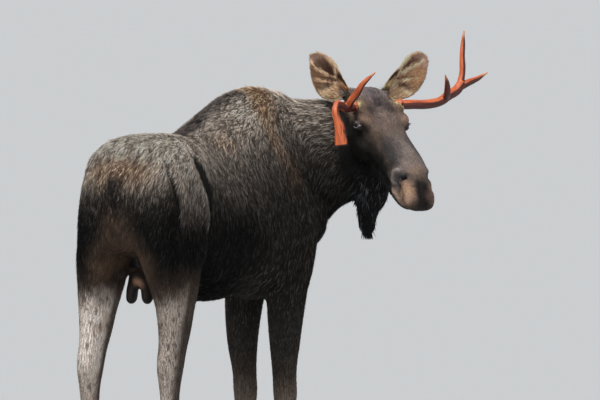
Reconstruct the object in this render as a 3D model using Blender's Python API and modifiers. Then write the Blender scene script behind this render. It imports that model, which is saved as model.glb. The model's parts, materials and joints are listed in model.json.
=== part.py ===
"""A young bull moose standing with its head turned back over its right side, life size, in named solids.

Metres, +X forward along the trunk, +Y the animal's left, +Z up, soles on z = 0, origin in the middle of the box's base.
The flesh is modelled whole, as lofts and balls joined by a voxel remesh, and then parted with thin cuts.
"""
import bpy
import bmesh
import math
import numpy as np
from mathutils import Vector, Matrix, Euler

for old in list(bpy.data.objects):
    bpy.data.objects.remove(old)

GAP = 0.0003              # clear space left between two pieces that touch
VOXEL = 0.012             # grain of the joined flesh before it is simplified
FLESH_TRIANGLES = 3850
ANTLER_TRIANGLES = 380

# ---------------------------------------------------------------- sizes
# Row frame while modelling: +X is forward along the trunk, +Y the animal's left, +Z up, floor at z = 0.
# The last step moves everything so that the origin is the middle of the box's base.
HEAD_SIZE = 1.03          # the head's frame is in metres times this
HEAD_YAW = -127.5         # degrees from straight ahead, to the animal's right
HEAD_PITCH = 33.0         # nose below level
HEAD_ROLL = -1.5
POLL = (0.866, -0.308, 1.722)       # middle of the head's own frame (forward along the face, left, up)
EYE_R = 0.0190
EYE_AT = (0.157, 0.1000, 0.012)     # centre of the left eyeball in that frame
HOOF_H = 0.088


# ---------------------------------------------------------------- small tools
def curve_through(rows, n):
    """n samples of a smooth curve through rows; the first three columns set the spacing."""
    r = np.array(rows, float)
    d = np.maximum(np.linalg.norm(np.diff(r[:, :3], axis=0), axis=1), 1e-6)
    t = np.concatenate([[0], np.cumsum(d)])
    m = np.zeros_like(r)
    s = np.diff(r, axis=0) / d[:, None]
    m[1:-1] = (s[1:] * d[:-1, None] + s[:-1] * d[1:, None]) / (d[:-1] + d[1:])[:, None]
    m[0], m[-1] = s[0], s[-1]
    q = np.linspace(0, t[-1], n)
    i = np.clip(np.searchsorted(t, q, side="right") - 1, 0, len(d) - 1)
    h = d[i][:, None]
    f = ((q - t[i]) / d[i])[:, None]
    return ((2 * f**3 - 3 * f**2 + 1) * r[i] + (f**3 - 2 * f**2 + f) * h * m[i]
            + (-2 * f**3 + 3 * f**2) * r[i + 1] + (f**3 - f**2) * h * m[i + 1])


def unit(v):
    v = np.asarray(v, float)
    return v / np.maximum(np.linalg.norm(v, axis=-1, keepdims=True), 1e-12)


def ring(width, up, down, n_up, n_down, k):
    """k points of a rounded section: half width, height above and depth below its centre, squareness above and below."""
    a = (np.arange(k) + 0.5) / k * 2 * math.pi
    c, s = np.cos(a), np.sin(a)
    p = np.where(s >= 0, 2.0 / n_up, 2.0 / n_down)
    y = width * np.sign(c) * np.abs(c) ** p
    z = np.where(s >= 0, up, down) * np.sign(s) * np.abs(s) ** p
    return y, z


def loft(rows, up=(0, 0, 1), n=48, k=32, ahead=None, frame=None):
    """A closed tube through rows of (x, y, z, half width, up, down, n_up, n_down), as (points, faces). Its sections face along
    the curve, or along ahead. frame is a 4x4 that places it."""
    r = curve_through(rows, n)
    p = r[:, :3]
    t = unit(np.gradient(p, axis=0)) if ahead is None else np.tile(unit(ahead), (n, 1))
    u = np.tile(np.asarray(up, float), (n, 1))
    u = unit(u - (u * t).sum(1)[:, None] * t)
    side = np.cross(u, t)
    pts = []
    for i in range(n):
        y, z = ring(*r[i, 3:8], k)
        pts.append(p[i] + side[i] * y[:, None] + u[i] * z[:, None])
    pts.append(p[0][None]); pts.append(p[-1][None])
    v = np.concatenate(pts)
    faces = []
    for i in range(n - 1):
        for j in range(k):
            a, b = i * k + j, i * k + (j + 1) % k
            faces.append((a, b, b + k, a + k))
    for j in range(k):
        faces.append((n * k, (j + 1) % k, j))
        faces.append((n * k + 1, (n - 1) * k + j, (n - 1) * k + (j + 1) % k))
    if frame is not None:
        v = v @ frame[:3, :3].T + frame[:3, 3]
    return v, faces


def ball(centre, radii, turn=None, frame=None, seg=24):
    """An ellipsoid as (points, faces); turn is a 3x3 and frame a 4x4 that places it."""
    bm = bmesh.new()
    bmesh.ops.create_uvsphere(bm, u_segments=seg, v_segments=seg // 2, radius=1.0)
    v = np.array([x.co for x in bm.verts]) * np.asarray(radii, float)
    f = [tuple(x.index for x in y.verts) for y in bm.faces]
    bm.free()
    if turn is not None:
        v = v @ np.asarray(turn).T
    v = v + np.asarray(centre, float)
    if frame is not None:
        v = v @ frame[:3, :3].T + frame[:3, 3]
    return v, f


def turned(x=0.0, y=0.0, z=0.0):
    return np.array(Euler((math.radians(x), math.radians(y), math.radians(z)), "XYZ").to_matrix())


def mesh_of(name, pieces):
    """One mesh from several (points, faces)."""
    v, f, at = [], [], 0
    for pv, pf in pieces:
        v.append(pv)
        f += [tuple(i + at for i in q) for q in pf]
        at += len(pv)
    m = bpy.data.meshes.new(name)
    m.from_pydata(np.concatenate(v).tolist(), [], f)
    bm = bmesh.new()
    bm.from_mesh(m)
    bmesh.ops.recalc_face_normals(bm, faces=bm.faces)
    bm.to_mesh(m)
    bm.free()
    return m


def evaluated(mesh, *mods):
    """The mesh after modifiers given as (type, {settings})."""
    o = bpy.data.objects.new("work", mesh)
    bpy.context.scene.collection.objects.link(o)
    for kind, settings in mods:
        m = o.modifiers.new(kind.lower(), kind)
        for key, value in settings.items():
            setattr(m, key, value)
    dg = bpy.context.evaluated_depsgraph_get()
    dg.update()
    out = bpy.data.meshes.new_from_object(o.evaluated_get(dg), preserve_all_data_layers=True, depsgraph=dg)
    bpy.data.objects.remove(o)
    return out


def coords(mesh):
    v = np.zeros(len(mesh.vertices) * 3)
    mesh.vertices.foreach_get("co", v)
    return v.reshape(-1, 3)


def set_coords(mesh, v):
    mesh.vertices.foreach_set("co", np.asarray(v, np.float64).ravel())
    mesh.update()


def edges_of(mesh):
    e = np.zeros(len(mesh.edges) * 2, np.int64)
    mesh.edges.foreach_get("vertices", e)
    return e.reshape(-1, 2)


def relax(mesh, times, share=0.5, weight=None, back=0.0):
    """Laplacian smoothing of a mesh, weighted per vertex; back above 0 undoes the shrinking."""
    v, e = coords(mesh), edges_of(mesh)
    n = len(v)
    count = np.bincount(e.ravel(), minlength=n)[:, None]
    w = np.ones(n) if weight is None else weight
    for _ in range(times):
        for s in ([share, -back] if back else [share]):
            total = np.stack([np.bincount(e[:, 0], v[e[:, 1], k], n) + np.bincount(e[:, 1], v[e[:, 0], k], n) for k in range(3)], 1)
            v = v + (s * w)[:, None] * (total / np.maximum(count, 1) - v)
    set_coords(mesh, v)


def smooth01(a, b, x):
    t = np.clip((x - a) / (b - a), 0, 1)
    return t * t * (3 - 2 * t)


def bump_at(v, centre, reach, power=2.0):
    """1 at centre, falling smoothly to 0 at reach, which is one radius or three."""
    d = np.linalg.norm((v - np.asarray(centre)) / np.asarray(reach, float), axis=1)
    return np.clip(1 - d**power, 0, 1) ** 2


# ---------------------------------------------------------------- frames
def head_frame():
    r = Euler((math.radians(HEAD_ROLL), math.radians(HEAD_PITCH), math.radians(HEAD_YAW)), "XYZ").to_matrix()
    f = np.eye(4)
    f[:3, :3] = np.array(r) * HEAD_SIZE
    f[:3, 3] = POLL
    return f


HEAD = head_frame()


def to_head(v):
    return (np.asarray(v) - HEAD[:3, 3]) @ HEAD[:3, :3] / HEAD_SIZE**2


def from_head(v):
    return np.asarray(v) @ HEAD[:3, :3].T + HEAD[:3, 3]


# ---------------------------------------------------------------- body
# name: x, height of the widest point, half width, top, bottom, squareness above and below
TRUNK = [
    (-0.722, 1.330, 0.040, 1.390, 1.270, 2.0, 2.0),   # under the tail
    (-0.700, 1.320, 0.125, 1.470, 1.205, 2.2, 2.0),
    (-0.650, 1.310, 0.185, 1.548, 1.165, 2.6, 2.0),   # tail head
    (-0.565, 1.320, 0.222, 1.604, 1.145, 3.0, 2.0),
    (-0.450, 1.340, 0.236, 1.626, 1.120, 3.0, 2.0),   # croup
    (-0.320, 1.320, 0.236, 1.626, 1.050, 2.7, 2.0),   # hips
    (-0.200, 1.290, 0.238, 1.618, 0.985, 2.1, 2.0),   # loin
    (-0.100, 1.270, 0.254, 1.648, 0.955, 1.75, 2.1),
    (0.000, 1.260, 0.266, 1.696, 0.946, 1.6, 2.1),    # barrel
    (0.100, 1.260, 0.268, 1.738, 0.950, 1.5, 2.1),
    (0.200, 1.265, 0.262, 1.774, 0.962, 1.6, 2.1),
    (0.320, 1.270, 0.245, 1.801, 0.955, 1.75, 2.0),
    (0.440, 1.270, 0.228, 1.810, 0.935, 1.85, 2.0),    # hump
    (0.570, 1.290, 0.212, 1.800, 0.945, 1.85, 2.0),
    (0.690, 1.310, 0.172, 1.778, 1.020, 1.8, 2.0),    # point of the shoulder
    (0.785, 1.330, 0.112, 1.660, 1.110, 2.0, 2.0),
    (0.835, 1.340, 0.050, 1.480, 1.220, 2.0, 2.0),
]
# x, y (outwards), z, half width, ahead, behind
FORELEG = [
    (0.400, 0.060, 1.640, 0.045, 0.090, 0.090),       # top of the shoulder blade
    (0.440, 0.112, 1.450, 0.085, 0.150, 0.160),
    (0.500, 0.154, 1.260, 0.098, 0.150, 0.160),       # shoulder
    (0.500, 0.160, 1.110, 0.092, 0.118, 0.140),
    (0.490, 0.148, 0.990, 0.082, 0.100, 0.115),       # elbow
    (0.500, 0.135, 0.880, 0.072, 0.092, 0.094),
    (0.512, 0.126, 0.760, 0.061, 0.075, 0.078),       # forearm
    (0.520, 0.120, 0.630, 0.050, 0.056, 0.056),
    (0.524, 0.120, 0.550, 0.050, 0.060, 0.052),       # knee
    (0.519, 0.120, 0.475, 0.041, 0.044, 0.047),
    (0.516, 0.120, 0.360, 0.034, 0.036, 0.040),       # cannon
    (0.516, 0.120, 0.255, 0.035, 0.036, 0.043),
    (0.521, 0.120, 0.200, 0.042, 0.042, 0.051),       # fetlock
    (0.541, 0.120, 0.145, 0.043, 0.040, 0.044),
    (0.561, 0.120, 0.095, 0.049, 0.050, 0.050),       # coronet
    (0.569, 0.120, 0.060, 0.047, 0.050, 0.046),
]
HINDLEG = [
    (-0.420, 0.095, 1.480, 0.090, 0.150, 0.190),      # hip
    (-0.455, 0.118, 1.350, 0.106, 0.165, 0.215),
    (-0.480, 0.134, 1.230, 0.106, 0.150, 0.195),      # thigh
    (-0.500, 0.150, 1.112, 0.093, 0.140, 0.165),
    (-0.520, 0.155, 1.016, 0.084, 0.114, 0.130),      # stifle and gaskin
    (-0.540, 0.156, 0.952, 0.073, 0.100, 0.114),
    (-0.568, 0.156, 0.852, 0.060, 0.083, 0.091),
    (-0.590, 0.156, 0.785, 0.052, 0.072, 0.081),
    (-0.612, 0.156, 0.705, 0.050, 0.062, 0.080),      # hock
    (-0.618, 0.156, 0.625, 0.041, 0.048, 0.057),
    (-0.612, 0.156, 0.500, 0.035, 0.038, 0.045),      # cannon
    (-0.604, 0.156, 0.360, 0.033, 0.036, 0.043),
    (-0.598, 0.156, 0.255, 0.036, 0.037, 0.045),
    (-0.592, 0.156, 0.200, 0.042, 0.042, 0.052),      # fetlock
    (-0.572, 0.156, 0.145, 0.043, 0.040, 0.044),
    (-0.552, 0.156, 0.095, 0.049, 0.050, 0.050),      # coronet
    (-0.544, 0.156, 0.060, 0.047, 0.050, 0.046),
]
HAMSTRING = [
    (-0.560, 0.100, 1.520, 0.060, 0.090, 0.060),
    (-0.595, 0.116, 1.420, 0.080, 0.100, 0.100),
    (-0.608, 0.120, 1.300, 0.085, 0.110, 0.108),
    (-0.604, 0.128, 1.180, 0.082, 0.105, 0.102),
    (-0.594, 0.142, 1.080, 0.072, 0.090, 0.086),
    (-0.590, 0.152, 0.980, 0.058, 0.075, 0.070),
    (-0.602, 0.156, 0.880, 0.042, 0.050, 0.052),
    (-0.630, 0.156, 0.780, 0.026, 0.030, 0.036),      # cord above the hock
    (-0.656, 0.156, 0.720, 0.022, 0.020, 0.026),
]
# how far each foot stands ahead of its rows, and out from them
STEP = {"front_left": (0.046, -0.025), "front_right": (0.012, -0.015), "hind_left": (0.000, 0.006), "hind_right": (0.055, 0.010)}
NECK = [
    (0.300, 0.000, 1.430, 0.150, 0.320, 0.280),
    (0.520, -0.010, 1.440, 0.170, 0.350, 0.310),
    (0.680, -0.060, 1.480, 0.160, 0.305, 0.310),
    (0.800, -0.150, 1.530, 0.148, 0.237, 0.235),
    (0.870, -0.240, 1.570, 0.130, 0.200, 0.225),
    (0.885, -0.310, 1.610, 0.112, 0.150, 0.190),
]
# along the head from the poll, widest height, half width, top, bottom, squareness above and below
SKULL = [
    (-0.075, -0.030, 0.045, 0.030, -0.080, 2.0, 2.0),
    (-0.045, -0.025, 0.080, 0.062, -0.125, 2.0, 2.0),
    (0.010, -0.020, 0.097, 0.084, -0.150, 2.1, 2.0),
    (0.070, -0.010, 0.103, 0.082, -0.160, 2.4, 1.9),
    (0.130, 0.000, 0.098, 0.074, -0.160, 2.5, 1.8),
    (0.190, 0.000, 0.088, 0.064, -0.148, 2.4, 1.8),
    (0.265, 0.000, 0.080, 0.060, -0.126, 2.3, 1.8),
    (0.340, -0.004, 0.078, 0.063, -0.104, 2.2, 1.9),
    (0.415, -0.012, 0.078, 0.066, -0.090, 2.2, 2.0),
    (0.480, -0.020, 0.076, 0.060, -0.084, 2.2, 2.2),
    (0.540, -0.032, 0.067, 0.040, -0.087, 2.2, 2.4),
    (0.585, -0.044, 0.066, 0.013, -0.090, 2.2, 2.4),
    (0.612, -0.054, 0.066, -0.012, -0.088, 2.2, 2.2),
    (0.628, -0.060, 0.059, -0.032, -0.083, 2.0, 2.0),
    (0.637, -0.062, 0.040, -0.046, -0.076, 2.0, 2.0),
]
JAW = [
    (0.060, -0.110, 0.060, -0.050, -0.165, 2.0, 2.0),
    (0.160, -0.120, 0.060, -0.060, -0.170, 2.0, 2.0),
    (0.290, -0.110, 0.048, -0.060, -0.152, 2.0, 2.0),
    (0.400, -0.108, 0.046, -0.060, -0.142, 2.0, 2.0),
    (0.475, -0.108, 0.048, -0.070, -0.140, 2.0, 2.0),
    (0.520, -0.106, 0.046, -0.075, -0.136, 2.0, 2.0),
    (0.552, -0.104, 0.036, -0.080, -0.128, 2.0, 2.0),
    (0.570, -0.102, 0.018, -0.088, -0.116, 2.0, 2.0),
]
# antlers, in the head's frame: forward, left, up, half width, half thickness
ANTLERS = {
    "left": {
        "beam": [(0.082, 0.080, 0.060, 0.0190, 0.0190), (0.081, 0.153, 0.064, 0.0190, 0.0190), (0.075, 0.218, 0.062, 0.0185, 0.0180),
                 (0.066, 0.281, 0.072, 0.0185, 0.0180), (0.049, 0.322, 0.092, 0.0200, 0.0185), (0.033, 0.356, 0.101, 0.0200, 0.0170),
                 (0.010, 0.386, 0.128, 0.0180, 0.0150)],
        "brow": [(0.056, 0.308, 0.078, 0.0150, 0.0140), (0.080, 0.292, 0.118, 0.0145, 0.0125), (0.086, 0.278, 0.160, 0.0115, 0.0100),
                 (0.077, 0.258, 0.207, 0.0025, 0.0025)],
        "upper": [(0.018, 0.376, 0.116, 0.0150, 0.0130), (-0.022, 0.391, 0.160, 0.0125, 0.0115), (-0.060, 0.394, 0.200, 0.0110, 0.0105),
                  (-0.098, 0.400, 0.245, 0.0085, 0.0085), (-0.131, 0.406, 0.285, 0.0030, 0.0030)],
        "outer": [(0.026, 0.366, 0.108, 0.0150, 0.0130), (0.008, 0.412, 0.124, 0.0145, 0.0125), (-0.004, 0.455, 0.136, 0.0110, 0.0100),
                  (-0.013, 0.500, 0.162, 0.0030, 0.0030)],
    },
    "right": {
        "beam": [(0.090, -0.103, 0.058, 0.0180, 0.0180), (0.096, -0.118, 0.057, 0.0180, 0.0180), (0.107, -0.150, 0.058, 0.0175, 0.0170),
                 (0.111, -0.186, 0.076, 0.0165, 0.0160), (0.114, -0.204, 0.080, 0.0150, 0.0150)],
        "brow": [(0.104, -0.140, 0.058, 0.0150, 0.0140), (0.116, -0.142, 0.100, 0.0150, 0.0140), (0.122, -0.134, 0.130, 0.0145, 0.0135),
                 (0.130, -0.119, 0.192, 0.0110, 0.0105), (0.137, -0.086, 0.249, 0.0030, 0.0030)],
        "drop": [(0.112, -0.196, 0.084, 0.0140, 0.0120), (0.134, -0.210, 0.072, 0.0145, 0.0125), (0.188, -0.203, 0.026, 0.0195, 0.0115),
                 (0.242, -0.198, -0.033, 0.0262, 0.0110)],
    },
}
# base, tip and opening direction of each ear in the head's frame
EARS = {
    "left": ((-0.030, 0.088, 0.040), (-0.101, 0.254, 0.179), (0.80, 0.12, 0.50)),
    "right": ((-0.024, -0.090, 0.036), (-0.136, -0.225, 0.146), (0.80, -0.42, 0.42)),
}
# along the ear, half width, how far the rims stand forward of the middle
EAR = [(0.00, 0.032, 0.032), (0.12, 0.043, 0.037), (0.30, 0.054, 0.035), (0.50, 0.055, 0.028), (0.70, 0.048, 0.019), (0.86, 0.035, 0.010),
       (0.96, 0.021, 0.004), (1.00, 0.008, 0.001)]
# x, y, z, half width, ahead, behind
BELL = [(0.858, -0.312, 1.540, 0.064, 0.060, 0.060), (0.860, -0.328, 1.440, 0.070, 0.058, 0.058), (0.862, -0.338, 1.375, 0.078, 0.052, 0.052),
        (0.857, -0.334, 1.340, 0.071, 0.048, 0.048), (0.850, -0.325, 1.305, 0.056, 0.042, 0.042), (0.847, -0.323, 1.270, 0.046, 0.036, 0.036),
        (0.846, -0.323, 1.235, 0.039, 0.030, 0.030), (0.846, -0.323, 1.205, 0.030, 0.023, 0.023), (0.845, -0.323, 1.188, 0.012, 0.010, 0.010)]
TAIL = [(-0.640, 0.0, 1.505, 0.030, 0.024, 0.024), (-0.690, 0.0, 1.492, 0.031, 0.022, 0.022), (-0.722, 0.0, 1.455, 0.030, 0.018, 0.018),
        (-0.735, 0.0, 1.410, 0.026, 0.015, 0.015), (-0.739, 0.0, 1.375, 0.019, 0.012, 0.012), (-0.739, 0.0, 1.350, 0.007, 0.006, 0.006)]


def trunk_rows(table):
    return [(x, 0.0, z, w, top - z, z - low, a, b) for x, z, w, top, low, a, b in table]


def leg_rows(table, side, foot):
    ahead, out = STEP[foot]
    rows = []
    for x, y, z, w, f, b in table:
        g = float(smooth01(1.45, 0.70, z))
        sway = 0.010 * math.exp(-((z - 1.05) / 0.16) ** 2) if foot.startswith("hind") else 0.0      # hips carried a little to the left
        lead = math.exp(-((z - 1.00) / 0.13) ** 2) if foot == "front_left" else 0.0                  # its elbow carried ahead
        rows.append((x + ahead * g + 0.058 * lead, side * (y + out * g - 0.030 * lead) + sway, z, w, f, b, 2.0, 2.0))
    return rows


def leg_centre(foot, z):
    """x, y of a leg's middle at a height."""
    table = FORELEG if foot.startswith("front") else HINDLEG
    rows = np.array(leg_rows(table, 1 if foot.endswith("left") else -1, foot))
    return np.array([np.interp(-z, -rows[:, 2], rows[:, k]) for k in (0, 1)])


def body_pieces():
    """The closed shapes whose union is the body without ears, antlers, eyes and hooves."""
    out = [loft(trunk_rows(TRUNK), n=72, k=40, ahead=(1, 0, 0))]
    for foot, table in (("front_left", FORELEG), ("front_right", FORELEG), ("hind_left", HINDLEG), ("hind_right", HINDLEG)):
        side = 1 if foot.endswith("left") else -1
        out.append(loft(leg_rows(table, side, foot), up=(1, 0, 0), n=110, k=28))
    out.append(loft([r + (1.8, 1.9) for r in NECK], n=48, k=36))
    for side in (1, -1):
        # hamstrings, stifle, upper arm and elbow
        out.append(loft(leg_rows(HAMSTRING, side, "hind_left" if side > 0 else "hind_right"), up=(1, 0, 0), n=60, k=24))
        out.append(ball((-0.400, side * 0.150, 1.200), (0.095, 0.082, 0.160), turned(0, -12, 0)))
        out.append(ball((0.570, side * 0.130, 1.230), (0.130, 0.095, 0.140)))
        out.append(ball((0.400, side * 0.150, 1.080), (0.080, 0.060, 0.110), turned(0, -15, 0)))
    out.append(ball((0.620, 0.0, 1.100), (0.140, 0.125, 0.140)))
    out.append(ball((0.640, -0.110, 1.320), (0.115, 0.100, 0.120)))      # foot of the neck on the inside of its bend
    out.append(ball((0.640, -0.128, 1.260), (0.105, 0.112, 0.125)))      # breast
    # head
    out.append(loft(trunk_rows(SKULL), n=64, k=40, ahead=(1, 0, 0), frame=HEAD))
    out.append(loft(trunk_rows(JAW), n=36, k=24, ahead=(1, 0, 0), frame=HEAD))
    for side in (1, -1):
        out.append(ball((0.152, side * 0.079, 0.038), (0.050, 0.034, 0.026), turned(0, 0, side * -8), HEAD))    # brow
        out.append(ball((0.085, side * 0.088, 0.055), (0.032, 0.034, 0.029), None, HEAD))                      # root of the antler
        out.append(ball((-0.026, side * 0.078, 0.036), (0.036, 0.036, 0.036), None, HEAD))                     # root of the ear
        out.append(ball((0.130, side * 0.066, -0.070), (0.110, 0.040, 0.085), None, HEAD))                     # cheek
        out.append(ball((0.525, side * 0.040, -0.016), (0.056, 0.031, 0.040), None, HEAD))                     # nostril
        out.append(ball((0.530, side * 0.042, -0.064), (0.074, 0.031, 0.032), None, HEAD))                     # upper lip
    out.append(ball((0.020, 0.0, 0.048), (0.070, 0.080, 0.045), None, HEAD))
    return out


def scrotum_pieces():
    out = []
    for side in (1, -1):
        rows = [(-0.500, side * 0.020, 1.100, 0.024, 0.030, 0.030, 2.0, 2.0), (-0.505, side * 0.028, 1.040, 0.026, 0.030, 0.030, 2.0, 2.0),
                (-0.508, side * 0.034, 0.990, 0.026, 0.032, 0.032, 2.0, 2.0), (-0.508, side * 0.036, 0.958, 0.020, 0.026, 0.026, 2.0, 2.0),
                (-0.507, side * 0.036, 0.945, 0.006, 0.008, 0.008, 2.0, 2.0)]
        out.append(loft(rows, up=(1, 0, 0), n=18, k=16))
    out.append(ball((-0.525, 0.0, 1.060), (0.030, 0.034, 0.034)))
    return out


def antler_pieces(side):
    """The beam and tines of one antler as closed tubes."""
    out = []
    for rows in ANTLERS[side].values():
        r = [(a, b, c, w, t, t, 2.0, 2.0) for a, b, c, w, t in rows]
        out.append(loft(r, up=(0.76, -0.41, 0.50), n=40, k=16, frame=HEAD))
    return out


def ear_sheet(side, rows=14, across=9, inset=0.0):
    """The middle surface of one ear as (points, faces), a cupped leaf; inset pulls its rim in."""
    base, tip, opening = (np.array(p, float) for p in EARS[side])
    axis = tip - base
    length = np.linalg.norm(axis)
    axis = axis / length
    face = unit(opening - (opening @ axis) * axis)
    wide = np.cross(axis, face) * (1 if side == "left" else -1)      # towards the outer rim
    s = np.linspace(0, 1, rows)
    prof = np.array(EAR)
    fine = curve_through([(p[0], 0, 0, p[1], p[2]) for p in prof], 200)
    half = np.interp(s, fine[:, 0], fine[:, 3]) * (1.05 if side == "left" else 0.97) - inset
    cup = np.interp(s, fine[:, 0], fine[:, 4])
    half = np.maximum(half, 0.003)
    pts = []
    for i in range(rows):
        for t in np.linspace(-1, 1, across):
            skew = 0.20 * math.sin(math.pi * s[i])                   # the outer rim is the fuller one
            p = base + axis * (s[i] * (length - inset)) + wide * half[i] * (t + skew) + face * (cup[i] * (abs(t) ** 1.7 - 0.45))
            p = p + face * (-0.012 * s[i] ** 2)
            pts.append(p)
    f = []
    for i in range(rows - 1):
        for j in range(across - 1):
            a = i * across + j
            f.append((a, a + 1, a + across + 1, a + across))
    v = np.array(pts) @ HEAD[:3, :3].T + HEAD[:3, 3]
    return v, f


# ---------------------------------------------------------------- hooves
# down one claw: height, ahead of the foot's middle, from the cleft to the wall, ahead, behind, squareness ahead and behind
CLAW = [
    (0.0880, 0.004, 0.0470, 0.046, 0.044, 1.9, 2.2),
    (0.0450, 0.013, 0.0500, 0.058, 0.051, 1.6, 2.2),
    (0.0060, 0.023, 0.0520, 0.072, 0.056, 1.4, 2.2),
    (0.0000, 0.023, 0.0505, 0.070, 0.055, 1.4, 2.2),
]
CLEFT = 0.0016            # half the cleft between the claws
CORONET = 0.0885          # the leg ends here
DEWCLAW = [(0.0, 0.0, 0.017, 0.013), (0.012, -0.004, 0.0165, 0.013), (0.026, -0.007, 0.0130, 0.010), (0.036, -0.008, 0.0060, 0.005)]


def claw(foot, outer):
    """One claw of a foot: a flat-soled half hoof, flat against the cleft."""
    x0, y0 = leg_centre(foot, HOOF_H)
    side = (1 if foot.endswith("left") else -1) * (1 if outer else -1)
    k = 12
    pts, faces = [], []
    for z, ahead, w, f, b, nf, nb in CLAW:
        y, x = ring(w * 0.5, f, b, nf, nb, k)
        y = np.maximum(y + w * 0.42, CLEFT)
        pts.append(np.stack([x0 + ahead + x, y0 + side * y, np.full(k, z)], 1))
    n = len(CLAW)
    for i in range(n - 1):
        for j in range(k):
            a, b = i * k + j, i * k + (j + 1) % k
            faces.append((a, b, b + k, a + k))
    faces.append(tuple(range(k)))
    faces.append(tuple(range((n - 1) * k, n * k)))
    return np.concatenate(pts), faces


def dewclaw(foot, outer):
    """A small blunt horn behind the pastern."""
    x0, y0 = leg_centre(foot, 0.168)
    side = (1 if foot.endswith("left") else -1) * (1 if outer else -1)
    rows = [(x0 - 0.050 - 0.55 * t, y0 + side * 0.024, 0.158 - 0.85 * t + dz, w, h, h, 2.0, 2.0) for t, dz, w, h in DEWCLAW]
    return loft(rows, up=(1, 0, 0), n=4, k=7)


# ---------------------------------------------------------------- solids from shapes
work = bpy.data.collections.new("work")
bpy.context.scene.collection.children.link(work)


def triangles(mesh):
    mesh.calc_loop_triangles()
    return len(mesh.loop_triangles)


def simplified(mesh, count):
    """The mesh brought down to about count triangles."""
    mesh = evaluated(mesh, ("TRIANGULATE", {}))
    return evaluated(mesh, ("DECIMATE", dict(ratio=min(1.0, count / triangles(mesh)))), ("TRIANGULATE", {}))


def tidy(mesh):
    """The largest body of a mesh, without slivers, its faces pointing out."""
    bm = bmesh.new()
    bm.from_mesh(mesh)
    bmesh.ops.remove_doubles(bm, verts=bm.verts, dist=0.00002)
    bmesh.ops.dissolve_degenerate(bm, edges=bm.edges, dist=0.00002)
    seen, best = set(), []
    for start in bm.verts:
        if start in seen:
            continue
        group, todo = [], [start]
        seen.add(start)
        while todo:
            v = todo.pop()
            group.append(v)
            for e in v.link_edges:
                other = e.other_vert(v)
                if other not in seen:
                    seen.add(other)
                    todo.append(other)
        if len(group) > len(best):
            best = group
    keep = set(best)
    bmesh.ops.delete(bm, geom=[v for v in bm.verts if v not in keep], context="VERTS")
    bmesh.ops.triangulate(bm, faces=bm.faces)
    bmesh.ops.recalc_face_normals(bm, faces=bm.faces)
    bm.to_mesh(mesh)
    bm.free()
    return mesh


def boolean(mesh, other, operation):
    tool = bpy.data.objects.new("tool", other)
    work.objects.link(tool)
    out = evaluated(mesh, ("BOOLEAN", dict(object=tool, operation=operation, solver="EXACT")))
    bpy.data.objects.remove(tool)
    return out


def grown(mesh, by=GAP):
    """The mesh with its surface moved out along its normals."""
    out = mesh.copy()
    bm = bmesh.new()
    bm.from_mesh(out)
    bm.normal_update()
    for v in bm.verts:
        v.co += v.normal * by
    bm.to_mesh(out)
    bm.free()
    return out


def prism(outline, low, high, frame=None, by=0.0):
    """A block with a convex outline in (x, z) between two y values, grown by some distance."""
    p = np.array(outline, float)
    c = p.mean(0)
    if by:
        n = len(p)
        area = sum(p[i][0] * p[(i + 1) % n][1] - p[(i + 1) % n][0] * p[i][1] for i in range(n))
        turn = 1 if area > 0 else -1
        new = []
        for i in range(n):
            a, b, d = p[i - 1], p[i], p[(i + 1) % n]
            n1 = unit(np.array([b[1] - a[1], a[0] - b[0]])) * turn
            n2 = unit(np.array([d[1] - b[1], b[0] - d[0]])) * turn
            m = unit(n1 + n2)
            new.append(b + m * by / max(m @ n1, 0.3))
        p = np.array(new)
    low, high = low - by, high + by
    v = [(x, low, z) for x, z in p] + [(x, high, z) for x, z in p]
    n = len(p)
    f = [tuple(range(n)), tuple(range(n, 2 * n))] + [(i, (i + 1) % n, (i + 1) % n + n, i + n) for i in range(n)]
    v = np.array(v)
    if frame is not None:
        v = v @ frame[:3, :3].T + frame[:3, 3]
    return tidy(mesh_of("block", [(v, f)]))


def block_along(start, end, reach, half, by=0.0):
    """A box from start towards end and on past it, all points in the head's frame."""
    a, b = from_head(np.array(start, float)), from_head(np.array(end, float))
    d = unit(b - a)
    u = unit(np.cross(d, (0.31, 0.52, -0.79)))
    w = np.cross(d, u)
    f = np.eye(4)
    f[:3, 0], f[:3, 1], f[:3, 2], f[:3, 3] = d, u, w, a
    return prism([(0, -half), (reach, -half), (reach, half), (0, half)], -half, half, f, by)


def part(rest, make):
    """The piece of rest inside a cutter, and rest without it, a gap apart; make(by) gives the cutter grown by a distance."""
    piece = tidy(boolean(rest, make(0.0), "INTERSECT"))
    rest = boolean(rest, make(GAP), "DIFFERENCE")
    return piece, rest


SOLIDS = {}

# ---------------------------------------------------------------- flesh
flesh = evaluated(mesh_of("flesh", body_pieces()), ("REMESH", dict(mode="VOXEL", voxel_size=VOXEL)))
relax(flesh, 6, 0.5)
flesh = tidy(simplified(flesh, FLESH_TRIANGLES))

# eyes, each in its socket
for side, name in ((1, "left"), (-1, "right")):
    at = np.array(EYE_AT) * (1, side, 1)
    SOLIDS["eye_" + name] = tidy(mesh_of("eye", [ball(at, (EYE_R,) * 3, None, HEAD, 14)]))
    socket = tidy(mesh_of("socket", [ball(at, (EYE_R + GAP * 2,) * 3, None, HEAD, 14)]))
    flesh = boolean(flesh, socket, "DIFFERENCE")

# head, behind the ears and along the throat
HEAD_CUT = [(-0.100, 0.300), (-0.085, 0.080), (0.010, -0.110), (0.070, -0.178), (0.300, -0.200), (0.750, -0.200), (0.750, 0.300)]
SOLIDS["head"], flesh = part(flesh, lambda by: prism(HEAD_CUT, -0.160, 0.175, HEAD, by))

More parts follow.
